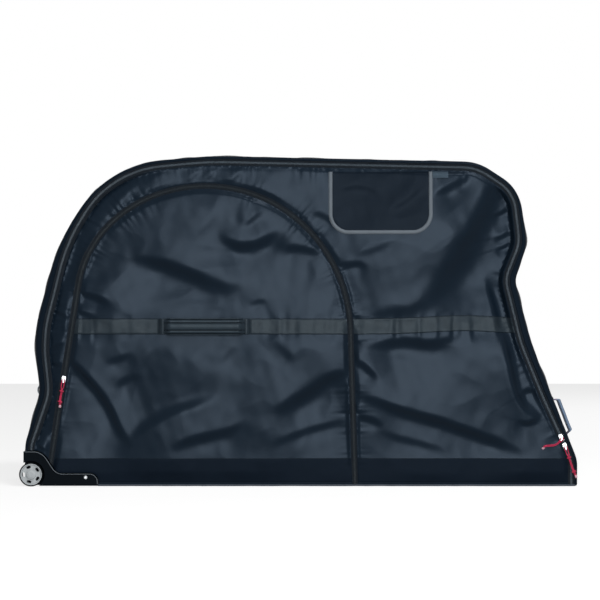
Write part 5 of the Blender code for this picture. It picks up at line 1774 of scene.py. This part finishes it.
def build_side_loop():
    """A thin loop of webbing that stands on the bag's end."""
    spot = Spot(loop_spot, loop_along, loop_proud, (0, 1, 0))
    path = smooth_line([spot.at(-along, proud, 0) for along, proud in mirrored(side_loop_half)], 4)
    loop = strap_piece("side_loop_webbing", path, (0, 1, 0), side_loop_width, side_loop_thickness,
                       dark_webbing_look)
    settle(loop, "bag_body", "dark_webbing", "side_loop")


def build_tow_handle():
    """The tow handle: a padded striped grip between two folds on a dark strip."""
    spot = Spot(tow_spot, tow_along, tow_proud, (0, 1, 0))
    reach = tow_length / 2 + anchor_length + tow_strip_spare
    path = [spot.at(along, tow_strip_proud, 0) for along in np.linspace(-reach, reach, 24)]
    strip = strap_piece("tow_strip_webbing", path, (0, 1, 0), tow_strip_width, strap_thickness,
                        dark_webbing_look)
    settle(strip, "bag_body", "dark_webbing", "tow_handle_strip")
    for direction, end in ((-1, "upper"), (1, "lower")):
        fold_line = anchor_path(spot, tow_length / 2, direction, 0)
        fold = strap_piece(f"tow_fold_{end}", fold_line, (0, 1, 0), tow_width, tow_fold_thickness,
                           dark_webbing_look)
        settle(fold, "bag_body", "dark_webbing")
    grip = grip_piece("tow_grip", spot, tow_length, tow_width, tow_rise, 0, tow_look, 1.2, False)
    grip.data.materials.append(tow_stripe_look)
    grip.data.materials.append(tow_line_look)
    for polygon in grip.data.polygons:
        share = abs(polygon.center.y) / tow_width
        if tow_stripe_shares[1] < share < tow_stripe_shares[2]:
            polygon.material_index = 2
        elif tow_stripe_shares[0] < share < tow_stripe_shares[1]:
            polygon.material_index = 3
    settle(grip, "tow_handle", "tow_fabric", "tow_handle")


# Base, and what lies inside

def flat_plate(name, outline, spacing, low_of, high_of, look):
    """A flat cut in (x, y) with its underside and its top given by functions."""
    flat, triangles = cut_cloth(outline, [], spacing)
    return two_skins(name, np.column_stack((flat, high_of(flat))),
                     np.column_stack((flat, low_of(flat))), triangles, look)


def build_base():
    """The cloth over the stiff base."""
    left = body_left + base_left_gap
    inner = half_depth - well_depth - base_gap
    outer = half_depth - 2 * piping_radius - base_side_gap
    step = wheel_centre[0] + math.sqrt(well_radius ** 2 - (wheel_centre[1] - base_thickness) ** 2)
    outline = np.array(((left, -inner), (step, -inner), (step, -outer), (base_right, -outer),
                        (base_right, outer), (step, outer), (step, inner), (left, inner)))
    edge = closed_line(outline)

    def low(points):
        rise = base_edge_rise * np.exp(-nearest(points, edge)[0] / base_edge_reach)
        return base_low + rise + base_wave_rise * (1 + waves(points, 51, base_wave_length))

    def high(points):
        return np.full(len(points), base_thickness)

    base = flat_plate("base_cloth_cover", outline, base_spacing, low, high, base_look)
    settle(base, "bag_body", "base_fabric", "base_panel")


def build_base_piping():
    """The light piping along both lower edges."""
    xs = np.linspace(bracket_left + bracket_length + piping_start_gap, base_right - piping_end_gap, 260)
    for side, label in ((FRONT, "front"), (BACK, "back")):
        wobble = piping_wobble * waves(one_way(xs), 52 + side, piping_wobble_length)
        path = np.stack((xs, side * (half_depth - piping_radius) + wobble,
                         piping_radius + base_low + np.abs(wobble) * 0.5), axis=1)
        piping = tube_piece(f"base_edge_piping_{label}", ring_grid(
            path, piping_radius * piping_share, 10, (0, 0, 1)), base_piping_look)
        settle(piping, "bag_body", "base_piping", f"base_piping_{label}")


def build_pad():
    """The quilted pad inside on the base."""
    outline = rounded_path((
        (0, -pad_half_depth, 0), (pad_right, -pad_half_depth, pad_corner),
        (pad_right, pad_half_depth, pad_corner), (pad_left, pad_half_depth, pad_corner),
        (pad_left, -pad_half_depth, pad_corner), (0, -pad_half_depth, 0)))[:-1]
    edge = closed_line(outline)

    def top(points):
        gap = nearest(points, edge)[0]
        round_off = (pad_high - pad_low) * pad_top_share * np.exp(-gap / pad_top_reach)
        wave = np.abs(np.sin(math.pi * points / quilt_pitch)) * quilt_pitch / math.pi
        seam = np.exp(-(wave.min(axis=1) / quilt_seam) ** 2)
        return pad_high - pad_top_gap - round_off - quilt_sink * seam

    def bottom(points):
        gap = nearest(points, edge)[0]
        round_off = (pad_high - pad_low) * pad_foot_share * np.exp(-gap / pad_foot_reach)
        return pad_low + pad_foot_gap + round_off

    pad = flat_plate("quilted_base_pad", outline, pad_spacing, bottom, top, foam_look)
    settle(pad, "bag_body", "foam", "base_pad")


def pocket_line():
    """A wheel pocket's closed outline: the arch let out to its seam, with round lower corners."""
    arch = beside(arch_line, -(arch_edge + pocket_seam) + pocket_growth)
    left = crossing(arch, pocket_low)
    right = crossing(arch, pocket_low, True)
    ends = [((left + right) / 2, pocket_low, 0)]
    corners = ends + [(left, pocket_low, pocket_corner)]
    corners += [(x, z, 0) for x, z in arch.tolist() if z > pocket_leg]
    return rounded_path(corners + [(right, pocket_low, pocket_corner)] + ends)[:-1]


def build_pocket(name, side, mouth_depth, floor_depth, cut_height, body, node):
    """A soft dish for a bicycle wheel: a wall that leans in and a slack floor."""
    outline = resampled(pocket_line(), pocket_spacing, closed=True)
    centre = np.array(((outline[:, 0].min() + outline[:, 0].max()) / 2, pocket_middle))
    rings = []
    for share, depth_share in pocket_wall_shares + [(share, 1) for share in pocket_floor_shares]:
        flat = centre + (outline - centre) * share
        slack = pocket_slack * waves(flat, 61, pocket_slack_length) * min(1, (1 - share) * 12)
        inset = mouth_depth + (floor_depth - mouth_depth - pocket_floor_gap) * depth_share + slack
        wall = pocket_wave * waves(flat, 62, pocket_wave_length) * math.sin(math.pi * depth_share)
        x = flat[:, 0] + wall * np.sign(centre[0] - flat[:, 0]) * 0.5
        rings.append(np.stack((x, side * (half_depth - inset), np.minimum(flat[:, 1], cut_height)),
                              axis=1))
    grid = np.array(rings)
    rows, columns = grid.shape[:2]
    normal = np.cross(np.gradient(grid, axis=0),
                      np.roll(grid, -1, axis=1) - np.roll(grid, 1, axis=1))
    normal /= np.maximum(np.linalg.norm(normal, axis=2), 1e-9)[:, :, None]
    toward = np.array((centre[0], side * (half_depth - mouth_depth), centre[1])) - grid
    sign = np.sign((normal * toward).sum(axis=2))[:, :, None]
    inner = (grid + normal * sign * pocket_thickness).reshape(-1, 3)
    count = rows * columns
    faces = grid_faces(rows, columns, closed=True)
    faces += [tuple(index + count for index in reversed(face)) for face in faces]
    faces.append(tuple(range((rows - 1) * columns, count)))
    faces.append(tuple(range(count + (rows - 1) * columns, 2 * count))[::-1])
    for column in range(columns):
        after = (column + 1) % columns
        faces.append((column, after, after + count, column + count))
    pocket = mesh_piece(name, np.vstack((grid.reshape(-1, 3), inner)), faces, lining_look)
    settle(pocket, body, "lining", node)


def build_frame_straps():
    """The two straps that hold the bicycle's frame, each lifted over its buckle."""
    for label in ("left", "right"):
        low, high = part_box(f"frame_strap_{label}")
        ys = np.linspace(low.y, high.y, 41)
        lift = buckle_lift * smooth_step(np.abs(ys), *buckle_inner) * (
            1 - smooth_step(np.abs(ys), *buckle_outer))
        path = np.stack((ys * 0 + (low.x + high.x) / 2, ys, (low.z + high.z) / 2 + lift), axis=1)
        strap = strap_piece(f"frame_strap_webbing_{label}", path, (1, 0, 0), high.x - low.x,
                            high.z - low.z, webbing_look)
        settle(strap, "bag_body", "webbing", f"frame_strap_{label}")


# Wheel corners

def build_front_corner():
    """The fixed cloth behind the front bracket."""
    left = crossing(beside(main_line, -main_edge), corner_join) + trim_gap
    outline = bracket_outline(left, foot, -corner_inset)
    well = circle(wheel_centre, well_radius + corner_well_gap)
    corner = face_cloth("front_corner_cloth", outline, [well], corner_spacing, FRONT,
                        lambda points: points[:, 0] * 0, fabric, base_look)
    settle(corner, "bag_body", "base_fabric", "front_corner_panel")


def outer_face(node, side):
    """The depth y of a node's outer face."""
    low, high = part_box(node)
    return low.y if side == FRONT else high.y


def build_bracket_highlight_beads():
    """A painted highlight: a light bead round each moulded corner's swept top edge."""
    line = bracket_outline(bracket_left + rim_start, rim_foot, -bead_radius)[:-1]
    for side, label in ((FRONT, "front"), (BACK, "back")):
        path = placed(line, outer_face(f"wheel_bracket_{label}", side))
        # The bead's light colour is painted highlight
        bead = tube_piece(f"bracket_highlight_bead_{label}", ring_grid(path, bead_radius), painted_highlight_look)
        settle(bead, "bag_body", "moulding")


def build_tyre_beads():
    """The round black shoulder of each tyre, outside its hub's face."""
    turn = np.linspace(0, 2 * math.pi, tyre_bead_steps, endpoint=False)[:, None]
    roll = np.linspace(0, 2 * math.pi, tyre_bead_sides, endpoint=False)[None, :]
    for side, label in ((FRONT, "front"), (BACK, "back")):
        low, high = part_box(f"wheel_tyre_{label}")
        middle = (low + high) / 2
        reach = (high.x - low.x) / 2 - tyre_bead + tyre_bead * np.cos(roll)
        face = side * max(side * outer_face(f"wheel_{part}_{label}", side) for part in ("tyre", "hub"))
        y = face - side * tyre_bead / 2 + tyre_bead * np.sin(roll) + 0 * turn
        points = np.stack((middle.x + reach * np.cos(turn), y, middle.z + reach * np.sin(turn)), axis=2)
        faces = grid_faces(tyre_bead_steps, tyre_bead_sides, closed=True)
        last = (tyre_bead_steps - 1) * tyre_bead_sides
        for start in range(tyre_bead_sides):
            after = (start + 1) % tyre_bead_sides
            faces.append((last + start, last + after, after, start))
        bead = mesh_piece(f"tyre_bead_{label}", points.reshape(-1, 3), faces, rubber_look)
        settle(bead, f"wheel_{label}", "rubber")


build_camera()
build_world()
build_floor()
for lamp_row in lamps:
    build_lamp(*lamp_row)
build_pulls()
build_front_cloth()
build_front_strips()
build_zips()
build_gusset()
build_back()
build_patch()
build_tab()
build_handle(FRONT, "front", "carry_handle_front", "front_flap", flap_relief)
build_handle(BACK, "back", "carry_handle_back", "bag_body", back_relief)
build_ring_tab()
build_side_loop()
build_tow_handle()
build_base()
build_base_piping()
build_pad()
build_front_corner()
build_bracket_highlight_beads()
build_tyre_beads()
build_pocket("front_pocket_cloth", FRONT, *front_pocket_depths, bag_height + fabric, "front_panel",
             "front_wheel_pocket")
build_pocket("back_sleeve_cloth", BACK, *back_sleeve_depths, sleeve_top, "bag_body",
             "back_wheel_sleeve")
build_frame_straps()

for kept_look, node_names in (
        (moulding_look, ("wheel_bracket_front", "wheel_bracket_back", "frame_buckle_left",
                         "frame_buckle_right")),
        (hub_look, ("wheel_hub_front", "wheel_hub_back", "wheel_axle_front", "wheel_axle_back")),
        (rubber_look, ("wheel_tyre_front", "wheel_tyre_back")),
        (chrome_look, ("bracket_rivet_front", "bracket_rivet_back", "arch_slider",
                       "upper_slider", "lower_slider")),
        (ring_look, ("d_ring",)),
        (board_look, ("base_board",))):
    for node_name in node_names:
        for material_slot in nodes[node_name].material_slots:
            material_slot.material = kept_look

bpy.context.scene.view_settings.view_transform = "Standard"
